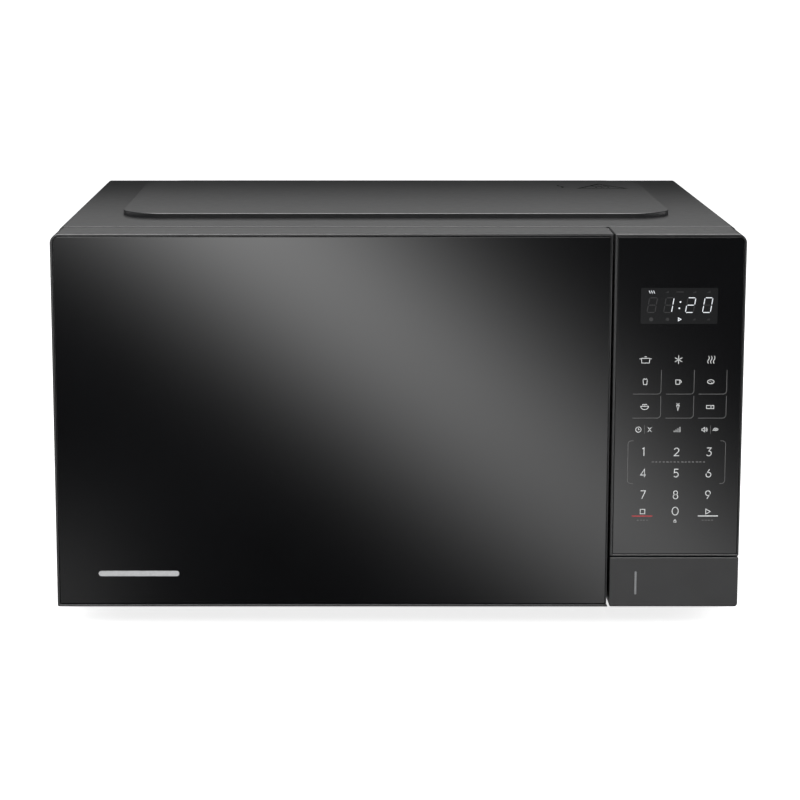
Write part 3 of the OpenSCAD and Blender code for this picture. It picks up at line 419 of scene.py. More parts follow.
def flat_piece(name, outlines, y_back, rise, body, slot, material):
    """Flat shapes in X and Z, raised towards the viewer from the plane y_back."""
    bm = bmesh.new()
    for outline in outlines:
        bm.faces.new([bm.verts.new((x, y_back, z)) for x, z in outline])
    bmesh.ops.remove_doubles(bm, verts=bm.verts, dist=0.002)
    grown = bmesh.ops.extrude_face_region(bm, geom=list(bm.faces))
    front = [v for v in grown["geom"] if isinstance(v, bmesh.types.BMVert)]
    bmesh.ops.translate(bm, vec=(0, -rise, 0), verts=front)
    return finished(name, bm, body, slot, material)


def lathe(profile, steps, centre):
    """A closed surface of revolution about Z from a profile of (radius, height) points."""
    bm = bmesh.new()
    rings = []
    for k in range(steps):
        turn = 2 * math.pi * k / steps
        rings.append([bm.verts.new((centre.x + r * math.cos(turn), centre.y + r * math.sin(turn),
                                    centre.z + h)) for r, h in profile])
    for k in range(steps):
        here, ahead = rings[k], rings[(k + 1) % steps]
        for i in range(len(profile) - 1):
            bm.faces.new((here[i], ahead[i], ahead[i + 1], here[i + 1]))
    bmesh.ops.remove_doubles(bm, verts=bm.verts, dist=0.001)
    return bm


def add_tube(bm, path, radius, sides=12):
    """A closed round tube along a path of points, added to a bmesh."""
    rings = []
    side = None
    for i, point in enumerate(path):
        ahead = (path[min(i + 1, len(path) - 1)] - path[max(i - 1, 0)]).normalized()
        if side is None:
            side = ahead.orthogonal().normalized()
        side = (side - ahead * side.dot(ahead)).normalized()
        up = ahead.cross(side)
        rings.append([bm.verts.new(point + radius * (side * math.cos(a) + up * math.sin(a)))
                      for a in (2 * math.pi * k / sides for k in range(sides))])
    for here, ahead in zip(rings, rings[1:]):
        for k in range(sides):
            j = (k + 1) % sides
            bm.faces.new((here[k], here[j], ahead[j], ahead[k]))
    bm.faces.new(rings[0])
    bm.faces.new(rings[-1])


def coil(length, coil_r, wire_r, turns, place):
    """A round-wire spring whose end turns lie closer; place puts a point of it in the oven."""
    steps = turns * 28
    closer = 0.25
    path = []
    for k in range(steps + 1):
        t = k / steps
        rise = t - closer / (2 * math.pi) * math.sin(2 * math.pi * t)
        a = 2 * math.pi * turns * t
        path.append(place(coil_r * math.cos(a), coil_r * math.sin(a),
                          wire_r + rise * (length - 2 * wire_r)))
    bm = bmesh.new()
    add_tube(bm, path, wire_r, 10)
    return bm


# ------------------------------------------------------------------ case
ROOF = box_mm("outer_cabinet")
PAD_RISE = 3.3
PAD_RIM_R = 0.6
PAD_TO_SIDE = 20
CASE_BEND_R = 3.0
CASE_FRONT_R = 4.6
# Both faces of the 0.8 mm sheet are rounded at the front, so this has to stay under half of it
SHELL_EDGE_R = 0.3


def ease_front_corners(bm):
    """Opens the roof's two bends a little towards the front, where they meet the wider front corners."""
    side, roof = ROOF[1].x, ROOF[1].z - PAD_RISE
    for v in bm.verts:
        x, z = abs(v.co.x) - (side - CASE_BEND_R), v.co.z - (roof - CASE_BEND_R)
        if v.co.y < ROOF[0].y + 1 and x > -0.01 and z > -0.01:
            r = math.hypot(x, z)
            wider = r - CASE_BEND_R + CASE_FRONT_R
            v.co.x = math.copysign(side - CASE_FRONT_R + x / r * wider, v.co.x)
            v.co.z = roof - CASE_FRONT_R + z / r * wider


def on_pad_rim(edge):
    """True for an edge round the top of the raised roof panel."""
    return all(abs(v.co.z - ROOF[1].z) < 0.01 and abs(v.co.x) < ROOF[1].x - PAD_TO_SIDE
               for v in edge.verts)


def shape_roof(bm):
    """Rounds the rim of the raised roof panel and opens the roof's bends at the front."""
    round_off(bm, sharp_edges(bm, 50, on_pad_rim), PAD_RIM_R, 4)
    ease_front_corners(bm)


SHELL = softened("cabinet_shell", "outer_cabinet", SHELL_EDGE_R, 3, shape_roof,
                 on_front("outer_cabinet"))
softened("rounded_front_plate", "front_plate", 0.3, 2)
softened("cavity_liner", "oven_cavity", 0.3, 2)
softened("feet_with_soft_edges", "rubber_feet", 0.7, 3)
softened("screw_heads", "case_screws", 0.25, 2)
softened("inlet_gland", "cord_inlet_gland", 0.5, 3)

# ------------------------------------------------------------------ door
GLASS_RIGHT = box_mm("door_glass")[1].x
GLASS_WIDER = 1.0


def narrow_right_rim(bm):
    """Takes the rim beside the door's opening edge in to a thin line, for the wider pane."""
    low, high = box_mm("door_frame")
    inner = [v for v in bm.verts if GLASS_RIGHT < v.co.x < high.x - 0.1 and v.co.y < low.y + 5]
    bmesh.ops.translate(bm, vec=(GLASS_WIDER, 0, 0), verts=inner)


def widen_pane(bm):
    """Moves the pane's right edge out over the thinner rim."""
    right = [v for v in bm.verts if v.co.x > GLASS_RIGHT - 3]
    bmesh.ops.translate(bm, vec=(GLASS_WIDER, 0, 0), verts=right)


softened("door_surround", "door_frame", 0.5, 4, narrow_right_rim,
         on_front("door_frame", lambda place: place.x > GLASS_RIGHT))
softened("door_pane", "door_glass", 0.16, 2, widen_pane)
softened("inner_cover", "door_inner_cover", 0.5, 3)


def blank_bar():
    """The plain bar that takes the place of the door's lettering."""
    bar = softened("blank_bar", "door_nameplate", 0.05, 1)
    bar.data.materials[0] = print_ink("satin_silver", (0.42, 0.425, 0.43), 0.45)


blank_bar()


def hexagon(centre, r):
    return [(centre[0] + r * math.sin(a), centre[1] + r * math.cos(a))
            for a in (k * math.pi / 3 for k in range(6))]


def perforated_screen():
    """The door's steel screen: six-sided tiles, each with a round-looking hole in it."""
    low, high = box_mm("door_mesh_screen")
    pitch = 2.5
    hole = 0.72
    border = 5.0
    tile_r = pitch / math.sqrt(3)
    bm = bmesh.new()
    columns = int((high.x - low.x - 2 * border) / pitch)
    rows = int((high.z - low.z - 2 * border) / (1.5 * tile_r))
    for j in range(rows):
        for i in range(columns - j % 2):
            centre = (low.x + border + pitch * (i + 0.5 + 0.5 * (j % 2)),
                      low.z + border + 1.5 * tile_r * (j + 0.6))
            outer = [bm.verts.new((x, low.y, z)) for x, z in hexagon(centre, tile_r)]
            inner = [bm.verts.new((x, low.y, z)) for x, z in hexagon(centre, hole)]
            for k in range(6):
                m = (k + 1) % 6
                bm.faces.new((outer[k], outer[m], inner[m], inner[k]))
    bmesh.ops.remove_doubles(bm, verts=bm.verts, dist=0.01)
    for x0, x1, z0, z1 in ((low.x, high.x, low.z, low.z + border),
                           (low.x, high.x, high.z - border, high.z),
                           (low.x, low.x + border, low.z + border, high.z - border),
                           (high.x - border, high.x, low.z + border, high.z - border)):
        bm.faces.new([bm.verts.new((x, low.y, z)) for x, z in
                      ((x0, z0), (x1, z0), (x1, z1), (x0, z1))])
    grown = bmesh.ops.extrude_face_region(bm, geom=list(bm.faces))
    back = [v for v in grown["geom"] if isinstance(v, bmesh.types.BMVert)]
    bmesh.ops.translate(bm, vec=(0, high.y - low.y, 0), verts=back)
    piece = finished("perforated_screen", bm, "door", "screen_steel")
    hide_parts("door_mesh_screen")


perforated_screen()

# ------------------------------------------------------------------ panel and button
BUTTON_GROOVE = (152, 156)
softened("panel_surround", "panel_frame", 0.5, 4, None, on_front("panel_frame"))
softened("panel_pane", "panel_glass", 0.16, 2)
softened("button_cap", "open_button", 0.5, 4, None,
         on_front("open_button", lambda place: BUTTON_GROOVE[0] < place.x < BUTTON_GROOVE[1]))
GLASS_Y = box_mm("panel_glass")[0].y
PRINT_SUNK = 0.01
PRINT_RISE = 0.05

INK_WHITE = print_ink("ink_white", (0.62, 0.63, 0.63))
INK_GREY = print_ink("ink_grey", (0.1, 0.1, 0.1))
INK_RED = print_ink("ink_red", (0.36, 0.02, 0.025))


def arc(cx, cz, r, a0, a1, steps=14, stretch=1.0):
    """Points along a circle's arc, in degrees from +X; stretch makes it an ellipse upright."""
    return [Vector((cx + r * math.cos(math.radians(a0 + (a1 - a0) * k / steps)),
                    cz + r * stretch * math.sin(math.radians(a0 + (a1 - a0) * k / steps))))
            for k in range(steps + 1)]


def line(*points):
    return [Vector(p) for p in points]


def ribbon(points, width):
    """Quads of one width along a line of points, mitred at each bend."""
    closed = (points[0] - points[-1]).length < 1e-6
    if closed:
        points = points[:-1]
    count = len(points)
    sides = []
    for i, p in enumerate(points):
        inward = p - points[i - 1] if i or closed else points[1] - p
        onward = points[(i + 1) % count] - p if i < count - 1 or closed else inward
        a, b = inward.normalized(), onward.normalized()
        middle = (a + b).normalized()
        reach = width / 2 / max(0.45, middle.dot(b))
        across = Vector((-middle.y, middle.x)) * reach
        sides.append((p + across, p - across))
    spans = range(count if closed else count - 1)
    return [(sides[i][0], sides[i][1], sides[(i + 1) % count][1], sides[(i + 1) % count][0])
            for i in spans]


# Each digit as strokes in a cell one unit high, centred on x = 0
DIGITS = {
    0: [arc(0, 0.5, 0.37, 0, 360, 28, 1.32)],
    1: [line((-0.17, 0.86), (0.03, 0.98), (0.03, 0))],
    2: [arc(0, 0.69, 0.28, 165, -28) + line((-0.28, 0.02), (0.32, 0.02))],
    3: [line((-0.26, 0.98), (0.24, 0.98), (-0.03, 0.6)) + arc(-0.03, 0.31, 0.3, 80, -145)],
    4: [line((0.14, 0), (0.14, 0.98), (-0.32, 0.26), (0.33, 0.26))],
    5: [line((0.27, 0.98), (-0.18, 0.98), (-0.22, 0.55)) + arc(-0.02, 0.31, 0.29, 118, -145)],
    6: [arc(0, 0.3, 0.29, 0, 360, 24), line((0.12, 0.98), (-0.25, 0.42))],
    7: [line((-0.28, 0.98), (0.3, 0.98), (-0.12, 0))],
    8: [arc(0, 0.74, 0.23, 0, 360, 24), arc(0, 0.26, 0.28, 0, 360, 24)],
    9: [arc(0, 0.69, 0.29, 0, 360, 24), line((-0.12, 0), (0.25, 0.57))],
}

# Small signs as strokes in a cell two units square, centred on the origin
SIGNS = {
    "pot": [line((-0.9, 0.3), (-0.8, -0.7), (0.8, -0.7), (0.9, 0.3), (-0.9, 0.3)),
            line((-1.3, 0.2), (-0.9, 0.2)), line((0.9, 0.2), (1.3, 0.2)),
            line((-0.25, 0.65), (0.25, 0.65))],
    "flake": [line((-0.9 * math.cos(a), -0.9 * math.sin(a)), (0.9 * math.cos(a), 0.9 * math.sin(a)))
              for a in (math.radians(d) for d in (30, 90, 150))],
    "heat": [[Vector((x + 0.16 * math.sin(4 * t), t)) for t in (-0.8 + 0.1 * k for k in range(17))]
             for x in (-0.6, 0, 0.6)],
    "bag": [line((-0.6, 0.6), (-0.45, -0.8), (0.45, -0.8), (0.6, 0.6)),
            line((-0.6, 0.6), (-0.3, 0.85), (0, 0.6), (0.3, 0.85), (0.6, 0.6))],
    "cup": [line((-0.7, 0.5), (-0.6, -0.7), (0.4, -0.7), (0.5, 0.5), (-0.7, 0.5)),
            arc(0.5, 0, 0.38, 80, -80)],
    "tuber": [arc(0, 0, 0.9, 0, 360, 26, 0.62), line((-0.3, 0.1), (-0.12, 0.1)),
              line((0.2, -0.12), (0.38, -0.12))],
    "bowl": [arc(0, 0.1, 0.95, 180, 360, 16, 0.85) + line((-0.95, 0.1)),
             arc(-0.3, 0.35, 0.26, 0, 180, 8), arc(0.3, 0.35, 0.26, 0, 180, 8)],
    "root": [line((-0.25, 0.35), (0.1, -0.95), (0.4, 0.35), (-0.25, 0.35)),
             line((0.07, 0.35), (-0.25, 0.9)), line((0.07, 0.35), (0.4, 0.9))],
    "block": [line((-0.9, -0.45), (0.9, -0.45), (0.9, 0.3), (-0.9, 0.3), (-0.9, -0.45)),
              line((0.2, -0.45), (0.2, 0.3))],
    "steps": [line((x, -0.7), (x, -0.7 + h))
              for x, h in ((-0.8, 0.4), (-0.27, 0.75), (0.27, 1.1), (0.8, 1.45))],
    "clock": [arc(0, 0, 0.85, 0, 360, 28), line((0, 0.5), (0, 0), (0.38, 0))],
    "glass": [line((-0.6, 0.85), (0.6, 0.85), (-0.6, -0.85), (0.6, -0.85), (-0.6, 0.85)),
              line((-0.8, 0.85), (0.8, 0.85)), line((-0.8, -0.85), (0.8, -0.85))],
    "horn": [line((-0.8, 0.28), (-0.45, 0.28), (0.05, 0.75), (0.05, -0.75), (-0.45, -0.28), (-0.8, -0.28),
                  (-0.8, 0.28)), arc(0.05, 0, 0.5, 50, -50, 8), arc(0.05, 0, 0.85, 50, -50, 10)],
    "leaf": [arc(0, -0.5, 1.0, 35, 145, 12), arc(0, 0.65, 1.0, -35, -145, 12),
             line((-1.1, -0.35), (0.6, 0.3))],
    "stop": [line((-0.7, -0.7), (0.7, -0.7), (0.7, 0.7), (-0.7, 0.7), (-0.7, -0.7))],
    "start": [line((-0.55, -0.8), (0.85, 0), (-0.55, 0.8), (-0.55, -0.8))],
    "lock": [line((-0.6, -0.8), (0.6, -0.8), (0.6, 0.1), (-0.6, 0.1), (-0.6, -0.8)),
             arc(0, 0.1, 0.38, 0, 180, 12, 1.7)],
}


def drawn(strokes, x, z, size, width):
    """A sign's strokes at a place, as quads."""
    at = Vector((x, z))
    return [quad for stroke in strokes
            for quad in ribbon([at + p * size for p in stroke], width)]


COLUMNS = (157.4, 178.4, 199.2)
DIGIT_H = 5.3
DIGIT_ROWS = (115.5, 101.6, 87.4)
NOUGHT_ROW = 76.6
PAIR_ROW = 130
DIGIT_STROKE = 0.5
SIGN_STROKE = 0.42


def keypad_print():
    """The keypad's digits in white; its words are shown as small signs."""
    strokes = []
    for row, z in enumerate(DIGIT_ROWS):
        for column, x in enumerate(COLUMNS):
            digit = DIGITS[3 * row + column + 1]
            strokes += drawn(digit, x, z - DIGIT_H / 2, DIGIT_H, DIGIT_STROKE)
    strokes += drawn(DIGITS[0], COLUMNS[1], NOUGHT_ROW - DIGIT_H / 2, DIGIT_H, DIGIT_STROKE)
    rows = ((175.3, 3.0, ("pot", "flake", "heat")), (161.1, 2.3, ("bag", "cup", "tuber")),
            (144.9, 2.6, ("bowl", "root", "block")), (PAIR_ROW, 2.3, (None, "steps", None)),
            (76.3, 2.1, ("stop", None, "start")))
    for z, size, names in rows:
        for x, name in zip(COLUMNS, names):
            if name:
                strokes += drawn(SIGNS[name], x, z, size, SIGN_STROKE)
    for x, left, right in ((COLUMNS[0], "clock", "glass"), (COLUMNS[2] + 0.4, "horn", "leaf")):
        strokes += drawn(SIGNS[left], x - 3.7, PAIR_ROW, 2.0, SIGN_STROKE)
        strokes += drawn(SIGNS[right], x + 3.5, PAIR_ROW, 1.9, SIGN_STROKE)
    strokes += drawn(SIGNS["lock"], COLUMNS[1], 70.2, 1.2, 0.3)
    strokes += ribbon(line((193, 73.4), (206, 73.4)), 0.65)
    flat_piece("keypad_digits_and_signs", strokes, GLASS_Y + PRINT_SUNK, PRINT_RISE, "cabinet",
               "black_glass", INK_WHITE)
    flat_piece("keypad_red_line", ribbon(line((150.6, 73.3), (163.8, 73.3)), 0.8),
               GLASS_Y + PRINT_SUNK, PRINT_RISE, "cabinet", "black_glass", INK_RED)


def corner(x, z, r, a0, a1):
    return arc(x, z, r, a0, a1, 6)


def keypad_lines():
    """Thin grey cell lines, brackets round the digits, and a row of dashes."""
    width = 0.34
    r = 2.2
    bracket_top, bracket_foot = 122.7, 94.7
    strokes = []
    for x in (167.6, 188.6, 209.4):
        for top, foot in ((168.7, 153.1), (151.9, 137.5)):
            bend = line((x, top)) + corner(x - r, foot + r, r, 0, -90) + line((x - 20 + r, foot))
            strokes += ribbon(bend, width)
    for side, x in ((1, 147.3), (-1, 209.7)):
        upright = 180 if side > 0 else 0
        hook = (line((x + side * 3.4, bracket_top))
                + corner(x + side * r, bracket_top - r, r, 90, 90 + side * 90)
                + corner(x + side * r, bracket_foot + r, r, upright, upright + side * 90)
                + line((x + side * 3.4, bracket_foot)))
        strokes += ribbon(hook, width)
    for x in (COLUMNS[0] + 0.2, COLUMNS[2] + 0.6):
        strokes += ribbon(line((x, 127.3), (x, 132.7)), 0.28)
    for k in range(15):
        x = 162.6 + k * 2.35
        strokes += ribbon(line((x, 108.9), (x + (1.3 if k % 4 else 1.7), 108.9)), 0.8)
    for x in (COLUMNS[0], COLUMNS[2]):
        for k in range(4):
            at = x - 3.6 + k * 2.0
            strokes += ribbon(line((at, 70.6), (at + 1.2, 70.6)), 0.6)
    flat_piece("keypad_lines", strokes, GLASS_Y + PRINT_SUNK, PRINT_RISE, "cabinet", "black_glass",
               INK_GREY)


def button_mark():
    """The satin strip in the button's upright groove."""
    left, right, low, high = 153.15, 154.45, 21.4, 36.6
    end = 0.3
    strip = [(left + end, low), (right - end, low), (right, low + end), (right, high - end),
             (right - end, high), (left + end, high), (left, high - end), (left, low + end)]
    front = box_mm("open_button")[0].y
    flat_piece("button_mark", [strip], front + 0.45, 0.3, "open_button", "bright_foil",
               print_ink("satin_grey", (0.2, 0.205, 0.21), 0.35))


keypad_print()
keypad_lines()
button_mark()

# ------------------------------------------------------------------ display
DISPLAY_LOW, DISPLAY_HIGH = box_mm("display_module")
SLANT = math.tan(math.radians(9))
DIGIT_BASE = DISPLAY_LOW.z + 7.3
LED_H = 9.4
LED_W = 5.0
LED_STROKE = 0.5
LED_CENTRES = (160.9, 171.4, 185.2, 196.0)
# The seven bars of a display digit: horizontal or upright, its side, and its start height
BARS = {"a": ("h", 0, 1), "g": ("h", 0, 0.5), "d": ("h", 0, 0),
        "f": ("v", -0.5, 0.5), "b": ("v", 0.5, 0.5), "e": ("v", -0.5, 0), "c": ("v", 0.5, 0)}
ONE, TWO, NOUGHT, EIGHT = "bc", "abged", "abcdef", "abcdefg"


def led_bar(kind, x, z, length):
    """A bar with pointed ends, from its start along X or Z."""
    t = LED_STROKE / 2
    gap = 0.34
    run = [(gap, 0), (gap + t, t), (length - gap - t, t), (length - gap, 0),
           (length - gap - t, -t), (gap + t, -t)]
    return [(x + a, z + b) if kind == "h" else (x + b, z + a) for a, b in run]


def led_digit(shown, centre_x):
    bars = []
    for name in shown:
        kind, side, level = BARS[name]
        x = side * LED_W if kind == "v" else -LED_W / 2
        length = LED_W if kind == "h" else LED_H / 2
        bars.append([(centre_x + a + (b - LED_H / 2) * SLANT, DIGIT_BASE + b)
                     for a, b in led_bar(kind, x, level * LED_H, length)])
    return bars


def dot(x, z, r):
    return [(x + r * math.cos(a), z + r * math.sin(a)) for a in (k * math.pi / 6 for k in range(12))]


def display_window():
    """The display's smoked window and its unlit marks, both given a faint painted glow, and the figures
    that are lit.
    """
    soft = 0.5
    window = [(DISPLAY_LOW.x, DISPLAY_LOW.z + soft), (DISPLAY_LOW.x + soft, DISPLAY_LOW.z),
              (DISPLAY_HIGH.x - soft, DISPLAY_LOW.z), (DISPLAY_HIGH.x, DISPLAY_LOW.z + soft),
              (DISPLAY_HIGH.x, DISPLAY_HIGH.z - soft), (DISPLAY_HIGH.x - soft, DISPLAY_HIGH.z),
              (DISPLAY_LOW.x + soft, DISPLAY_HIGH.z), (DISPLAY_LOW.x, DISPLAY_HIGH.z - soft)]
    # The window's faint glow is painted light: it stands in for room light on the dark smoke, not a lamp.
    flat_piece("display_window", [window], GLASS_Y + PRINT_SUNK, 0.03, "cabinet", "display_black",
               glow("display_smoke_painted_glow", (0.013, 0.0133, 0.0138), 1.0))
    unlit = led_digit(EIGHT, LED_CENTRES[0]) + led_digit("adefg", LED_CENTRES[1])
    unlit += led_digit("g", LED_CENTRES[3]) + led_digit("fc", LED_CENTRES[2])
    top_row, low_row = DISPLAY_HIGH.z - 2.6, DISPLAY_LOW.z + 2.9
    unlit += [dot(160.4, low_row, 1.3), dot(170.8, low_row, 1.0)]
    for x in (170.2, 187.6, 196.6):
        unlit += drawn(SIGNS["steps"], x, top_row, 0.9, 0.3)
        unlit += drawn(SIGNS["steps"], x, low_row, 0.9, 0.3)
    unlit += ribbon(line((176, top_row), (180.6, top_row)), 0.5)
    # The unlit marks' glow is painted light too: it stands in for room light on their diffuser, not a
    # lamp.
    flat_piece("display_unlit_marks", unlit, GLASS_Y + PRINT_SUNK - 0.03, 0.02, "cabinet",
               "display_black", glow("display_unlit_painted_glow", (0.042, 0.042, 0.043), 1.0))
    lit = [bar for shown, x in zip((ONE, TWO, NOUGHT), LED_CENTRES[1:]) for bar in led_digit(shown, x)]
    middle = DIGIT_BASE + LED_H / 2
    lit += [dot(178.4 + SLANT * dz, middle + dz, 0.55) for dz in (-2.0, 2.0)]
    for k in range(3):
        lit += ribbon(line((158.7 + k * 1.4, top_row + 0.9), (159.5 + k * 1.4, top_row - 0.9)), 0.4)
    lit += drawn(SIGNS["start"], 178.3, low_row, 1.2, 0.45)
    flat_piece("display_lit_figures", lit, GLASS_Y + PRINT_SUNK - 0.05, 0.02, "cabinet",
               "display_black", glow("display_light", (0.85, 0.88, 0.92), 1.0))


display_window()


# ------------------------------------------------------------------ mark in the roof
def roof_mark():
    """A small triangle and a wave at the roof panel's right rear, flush with its top."""
    top = ROOF[1].z
    depth = 0.12
    left, right, near, far = 136, 171, 80, 113
    middle = (left + right) / 2
    outline = line((left, near), (right, near), (middle, far), (left, near))
    inner = [[Vector((x + 1.3 * math.sin(t / 2.4), near + 7 + t)) for t in range(14)]
             for x in (middle - 4.5, middle, middle + 4.5)]
    wave = [Vector((124 + 1.6 * math.sin(t / 3.2), near + 6 + t)) for t in range(19)]
    bm = bmesh.new()
    for stroke, width in [(outline, 2.0), (wave, 1.6)] + [(s, 1.3) for s in inner]:
        for quad in ribbon(stroke, width):
            bm.faces.new([bm.verts.new((p.x, p.y, top - depth)) for p in quad])
    bmesh.ops.remove_doubles(bm, verts=bm.verts, dist=0.002)
    grown = bmesh.ops.extrude_face_region(bm, geom=list(bm.faces))
    upper = [v for v in grown["geom"] if isinstance(v, bmesh.types.BMVert)]
    bmesh.ops.translate(bm, vec=(0, 0, depth), verts=upper)
    finished("roof_mark", bm, "cabinet", "cabinet_steel", roof_ink())


roof_mark()


# ------------------------------------------------------------------ turntable
def glass_tray():
    """The turntable tray: a pressed glass dish with rings under its rim and three feet."""
    low, high = box_mm("turntable_tray")
    radius = (high.x - low.x) / 2
    centre = Vector(((low.x + high.x) / 2, (low.y + high.y) / 2, low.z + 4))
    under = [(0, 0)] + [(r, 0.0 if k % 2 else 0.5) for k, r in enumerate(range(24, int(radius) - 22, 8))]
    under += [(radius - 22, 0), (radius - 17, 1.0), (radius - 12, 3), (radius - 7, 6.6), (radius - 3, 10)]
    rim = [(radius - 0.8, 10.6), (radius, 11.4), (radius, 12.6), (radius - 0.8, 13.3), (radius - 3, 13.5)]
    over = [(radius - 5, 13), (radius - 9, 10), (radius - 14, 6.8), (radius - 18, 5.2),
            (radius - 23, 4.5), (0, 4.5)]
    bm = lathe(under + rim + over, 144, centre)
    piece = finished("glass_tray", bm, "turntable", "tray_glass")
    feet = bmesh.new()
    for turn in (60, 180, 300):
        at = centre + Vector((15 * math.cos(math.radians(turn)), 15 * math.sin(math.radians(turn)), -4))
        peg = lathe([(0, 0), (2.8, 0), (3.4, 0.6), (3.4, 3.9), (0, 3.9)], 24, at)
        mesh = bpy.data.meshes.new("peg")
        peg.to_mesh(mesh)
        peg.free()
        feet.from_mesh(mesh)
        bpy.data.meshes.remove(mesh)
    finished("glass_tray_feet", feet, "turntable", "tray_glass")
    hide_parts("turntable_tray")


glass_tray()
softened("coupler_with_soft_edges", "drive_coupler", 0.5, 2)
softened("ring_with_soft_edges", "roller_ring", 0.5, 2)
for roller in ("roller_a", "roller_b", "roller_c"):
    softened(f"{roller}_wheel", roller, 0.6, 3)


def springs():
    """The two coil springs of the button and the latch, each with a mesh of its own."""
    low, high = box_mm("button_spring")
    x, z = (low.x + high.x) / 2, (low.z + high.z) / 2
    length = high.y - low.y
    bm = coil(length, 4.2, 0.5, 8, lambda a, b, c: Vector((x + a, high.y - c, z + b)))
    piece = finished("button_return_spring", bm, "cabinet", "spring_steel")
    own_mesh(piece)
    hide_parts("button_spring")
    low, high = box_mm("latch_spring")
    x, y = (low.x + high.x) / 2, (low.y + high.y) / 2
    length = high.z - low.z
    bm = coil(length, 3, 0.45, 7, lambda a, b, c: Vector((x + a, y + b, low.z + c)))
    piece = finished("latch_return_spring", bm, "door", "spring_steel")
    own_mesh(piece)
    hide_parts("latch_spring")


springs()


# ------------------------------------------------------------------ stage and light
WORLD_FILL = 0.4
WORLD_IN_GLOSS = 0.02
FLOOR_GLOW = 0.8


def only_reflected(obj):
    """A card that shows in reflections and nowhere else."""
    obj.visible_camera = False
    obj.visible_diffuse = False
    obj.visible_transmission = False
    obj.visible_volume_scatter = False
    obj.visible_shadow = False


def plane(name, points, material):
    mesh = bpy.data.meshes.new(name)
    mesh.from_pydata([Vector(p) for p in points], [], [range(len(points))])
    mesh.materials.append(material)
    obj = bpy.data.objects.new(name, mesh)
    scene.collection.objects.link(obj)
    return obj


class Card:
    """An emitting card whose brightness is a formula of its place, in metres."""

    def __init__(self, name):
        self.mat = bpy.data.materials.new(name)
        self.mat.use_nodes = True
        self.tree = self.mat.node_tree
        self.tree.nodes.clear()
        place = self.tree.nodes.new("ShaderNodeTexCoord")
        split = self.tree.nodes.new("ShaderNodeSeparateXYZ")
        self.tree.links.new(place.outputs["Object"], split.inputs[0])
        self.x, self.y, self.z = split.outputs

    def math(self, operation, a, b=0.0):
        node = self.tree.nodes.new("ShaderNodeMath")
        node.operation = operation
        for socket, value in zip(node.inputs, (a, b)):
            if isinstance(value, (int, float)):
                socket.default_value = value
            else:
                self.tree.links.new(value, socket)
        return node.outputs[0]

    def bell(self, offset, width):
        """exp(-(offset / width)^2 / 2)"""
        share = self.math("DIVIDE", offset, width)
        square = self.math("MULTIPLY", share, share)
        return self.math("EXPONENT", self.math("MULTIPLY", square, -0.5))

    def done(self, strength):
        """The white-lit material, with a strength that is a number or a formula's output."""
        emission = self.tree.nodes.new("ShaderNodeEmission")
        emission.inputs["Color"].default_value = (1, 1, 1, 1)
        if isinstance(strength, (int, float)):
            emission.inputs["Strength"].default_value = strength
        else:
            self.tree.links.new(strength, emission.inputs["Strength"])
        out = self.tree.nodes.new("ShaderNodeOutputMaterial")
        self.tree.links.new(emission.outputs[0], out.inputs["Surface"])
        return self.mat


def front_band_card():
    """A slanting soft light in front of the oven, which the door glass mirrors as one diagonal band."""
    card_y = -1.0
    peak = 4.3
    band_width, band_fade = 0.0462, 0.378
    glow_width, glow_height, glow_strength = 0.06, 0.07, 0.5
    front_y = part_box("door_glass")[0].y
    reach = (front_y - card_y) / (front_y - CAMERA_AT.y * MM)
    eye = CAMERA_AT * MM

    def mirrored(x, z):
        return x + (x - eye.x) * reach, z + (z - eye.z) * reach

    # the band's upper and lower ends on the front, in metres
    x0, z0 = mirrored(-0.072, 0.250)
    x1, z1 = mirrored(0.110, 0.093)
    length = math.hypot(x1 - x0, z1 - z0)
    ux, uz = (x1 - x0) / length, (z1 - z0) / length
    card = Card("front_band")
    dx = card.math("SUBTRACT", card.x, x0)
    dz = card.math("SUBTRACT", card.z, z0)
    across = card.math("ADD", card.math("MULTIPLY", dx, uz), card.math("MULTIPLY", dz, -ux))
    along = card.math("ADD", card.math("MULTIPLY", dx, ux), card.math("MULTIPLY", dz, uz))
    band = card.bell(across, band_width * (1 + reach))
    fade = card.math("EXPONENT", card.math("MULTIPLY", along, -1 / (band_fade * (1 + reach))))
    strength = card.math("MULTIPLY", card.math("MULTIPLY", band, fade), peak)
    gx, gz = mirrored(-0.225, 0.012)
    corner_glow = card.math("MULTIPLY", card.bell(card.math("SUBTRACT", card.x, gx), glow_width),
                            card.bell(card.math("SUBTRACT", card.z, gz), glow_height))
    strength = card.math("ADD", strength, card.math("MULTIPLY", corner_glow, glow_strength))
    board = plane("front_band_card", [(-1.2, card_y, -1.0), (1.2, card_y, -1.0),
                                      (1.2, card_y, 0.5), (-1.2, card_y, 0.5)], card.done(strength))
    only_reflected(board)
    flagged = bpy.data.collections.new("flagged_from_the_band")
    flagged.objects.link(SHELL)
    board.light_linking.receiver_collection = flagged
    flagged.collection_objects[0].light_linking.link_state = "EXCLUDE"


def plain_card(name, corners, strength):
    """A card of one brightness all over."""
    only_reflected(plane(name, corners, Card(name).done(strength)))


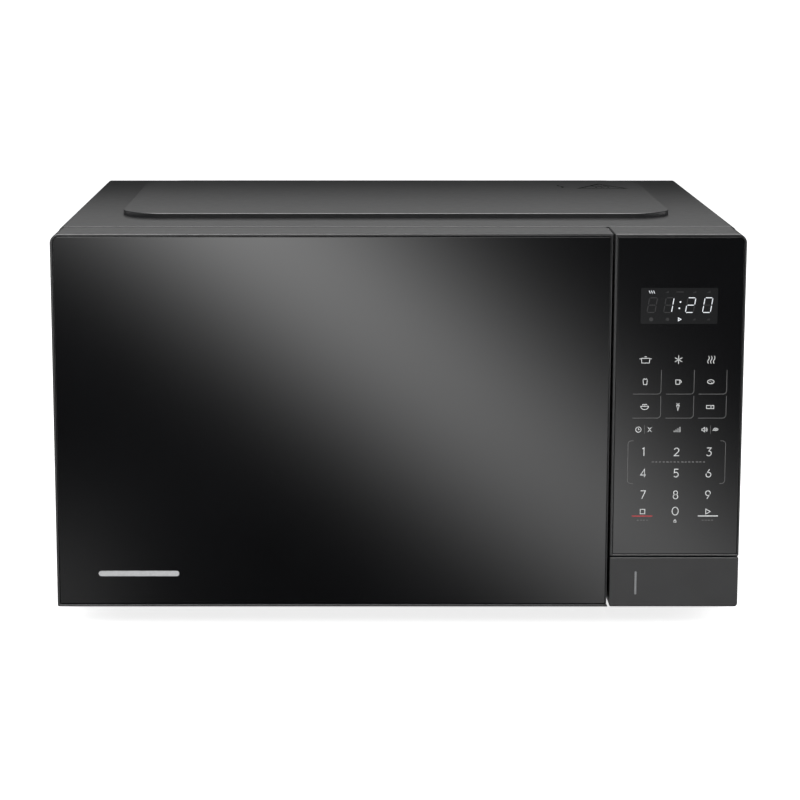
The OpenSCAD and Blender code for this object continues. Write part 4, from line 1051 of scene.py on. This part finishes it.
def cards():
    """Soft boxes that only the gloss sees. The side and rear ones stay below the roof's own horizon."""
    front_band_card()
    roof = ROOF[1].z * MM
    low, high = -0.5, roof - 0.006
    half, side_x, side_near, side_far = 0.9, 1.1, -0.9, 0.7
    for name, x, strength in (("left_card", -side_x, 2.0), ("right_card", side_x, 3.5)):
        plain_card(name, [(x, side_near, low), (x, side_far, low), (x, side_far, high),
                          (x, side_near, high)], strength)
    rear_y = 1.3
    plain_card("rear_card", [(-half, rear_y, low), (half, rear_y, low), (half, rear_y, high),
                             (-half, rear_y, high)], 0.5)
    over_z, over_near, over_far = 1.4, -1.8, 0.4
    plain_card("overhead_card", [(-half, over_near, over_z), (half, over_near, over_z),
                                 (half, over_far, over_z), (-half, over_far, over_z)], 10.0)
    roof_y, roof_half, roof_low, roof_high = 0.2, 0.3, roof + 0.045, roof + 0.3
    plain_card("roof_card", [(-roof_half, roof_y, roof_low), (roof_half, roof_y, roof_low),
                             (roof_half, roof_y, roof_high), (-roof_half, roof_y, roof_high)], 0.52)


def area_light(name, place, target, size, power):
    data = bpy.data.lights.new(name, "AREA")
    data.shape = "RECTANGLE"
    data.size, data.size_y = size
    data.energy = power
    light = bpy.data.objects.new(name, data)
    light.location = place
    light.rotation_euler = (Vector(target) - Vector(place)).to_track_quat("-Z", "Y").to_euler()
    light.visible_camera = False
    light.visible_glossy = False
    scene.collection.objects.link(light)


def lights():
    middle = (0, 0, 0.13)
    area_light("left_softbox", (-1.5, -0.1, 0.75), middle, (0.9, 0.9), 7)
    area_light("right_softbox", (1.5, -0.1, 0.75), middle, (0.9, 0.9), 7)
    area_light("rear_softbox", (0.2, 1.7, 1.0), middle, (1.4, 0.6), 9)
    area_light("front_softbox", (-0.3, -1.6, 1.3), middle, (1.2, 0.8), 8)
    cards()


def surroundings():
    """White surroundings that light the oven evenly and don't show in its gloss."""
    world = bpy.data.worlds.new("studio")
    scene.world = world
    world.use_nodes = True
    tree = world.node_tree
    tree.nodes.clear()
    rays = tree.nodes.new("ShaderNodeLightPath")
    out = tree.nodes.new("ShaderNodeOutputWorld")
    fill = tree.nodes.new("ShaderNodeBackground")
    fill.inputs["Strength"].default_value = WORLD_FILL
    surface = fill.outputs[0]
    for ray, strength in (("Is Glossy Ray", WORLD_IN_GLOSS), ("Is Camera Ray", 1.0)):
        shown = tree.nodes.new("ShaderNodeBackground")
        shown.inputs["Strength"].default_value = strength
        mix = tree.nodes.new("ShaderNodeMixShader")
        tree.links.new(rays.outputs[ray], mix.inputs["Fac"])
        tree.links.new(surface, mix.inputs[1])
        tree.links.new(shown.outputs[0], mix.inputs[2])
        surface = mix.outputs[0]
    tree.links.new(surface, out.inputs["Surface"])
    for node in tree.nodes:
        if node.type == "BACKGROUND":
            node.inputs["Color"].default_value = (1, 1, 1, 1)


def floor():
    reach = 60
    n = Nodes("floor_white", (0.9, 0.9, 0.9), 0.9)
    n.mottle(n.noise(3, 2), 0.005)
    n.shader.inputs["Emission Color"].default_value = (1, 1, 1, 1)
    n.shader.inputs["Emission Strength"].default_value = FLOOR_GLOW
    obj = plane("floor", [(-reach, -reach, 0), (reach, -reach, 0), (reach, reach, 0),
                          (-reach, reach, 0)], n.mat)
    obj.visible_glossy = False


surroundings()
floor()
lights()
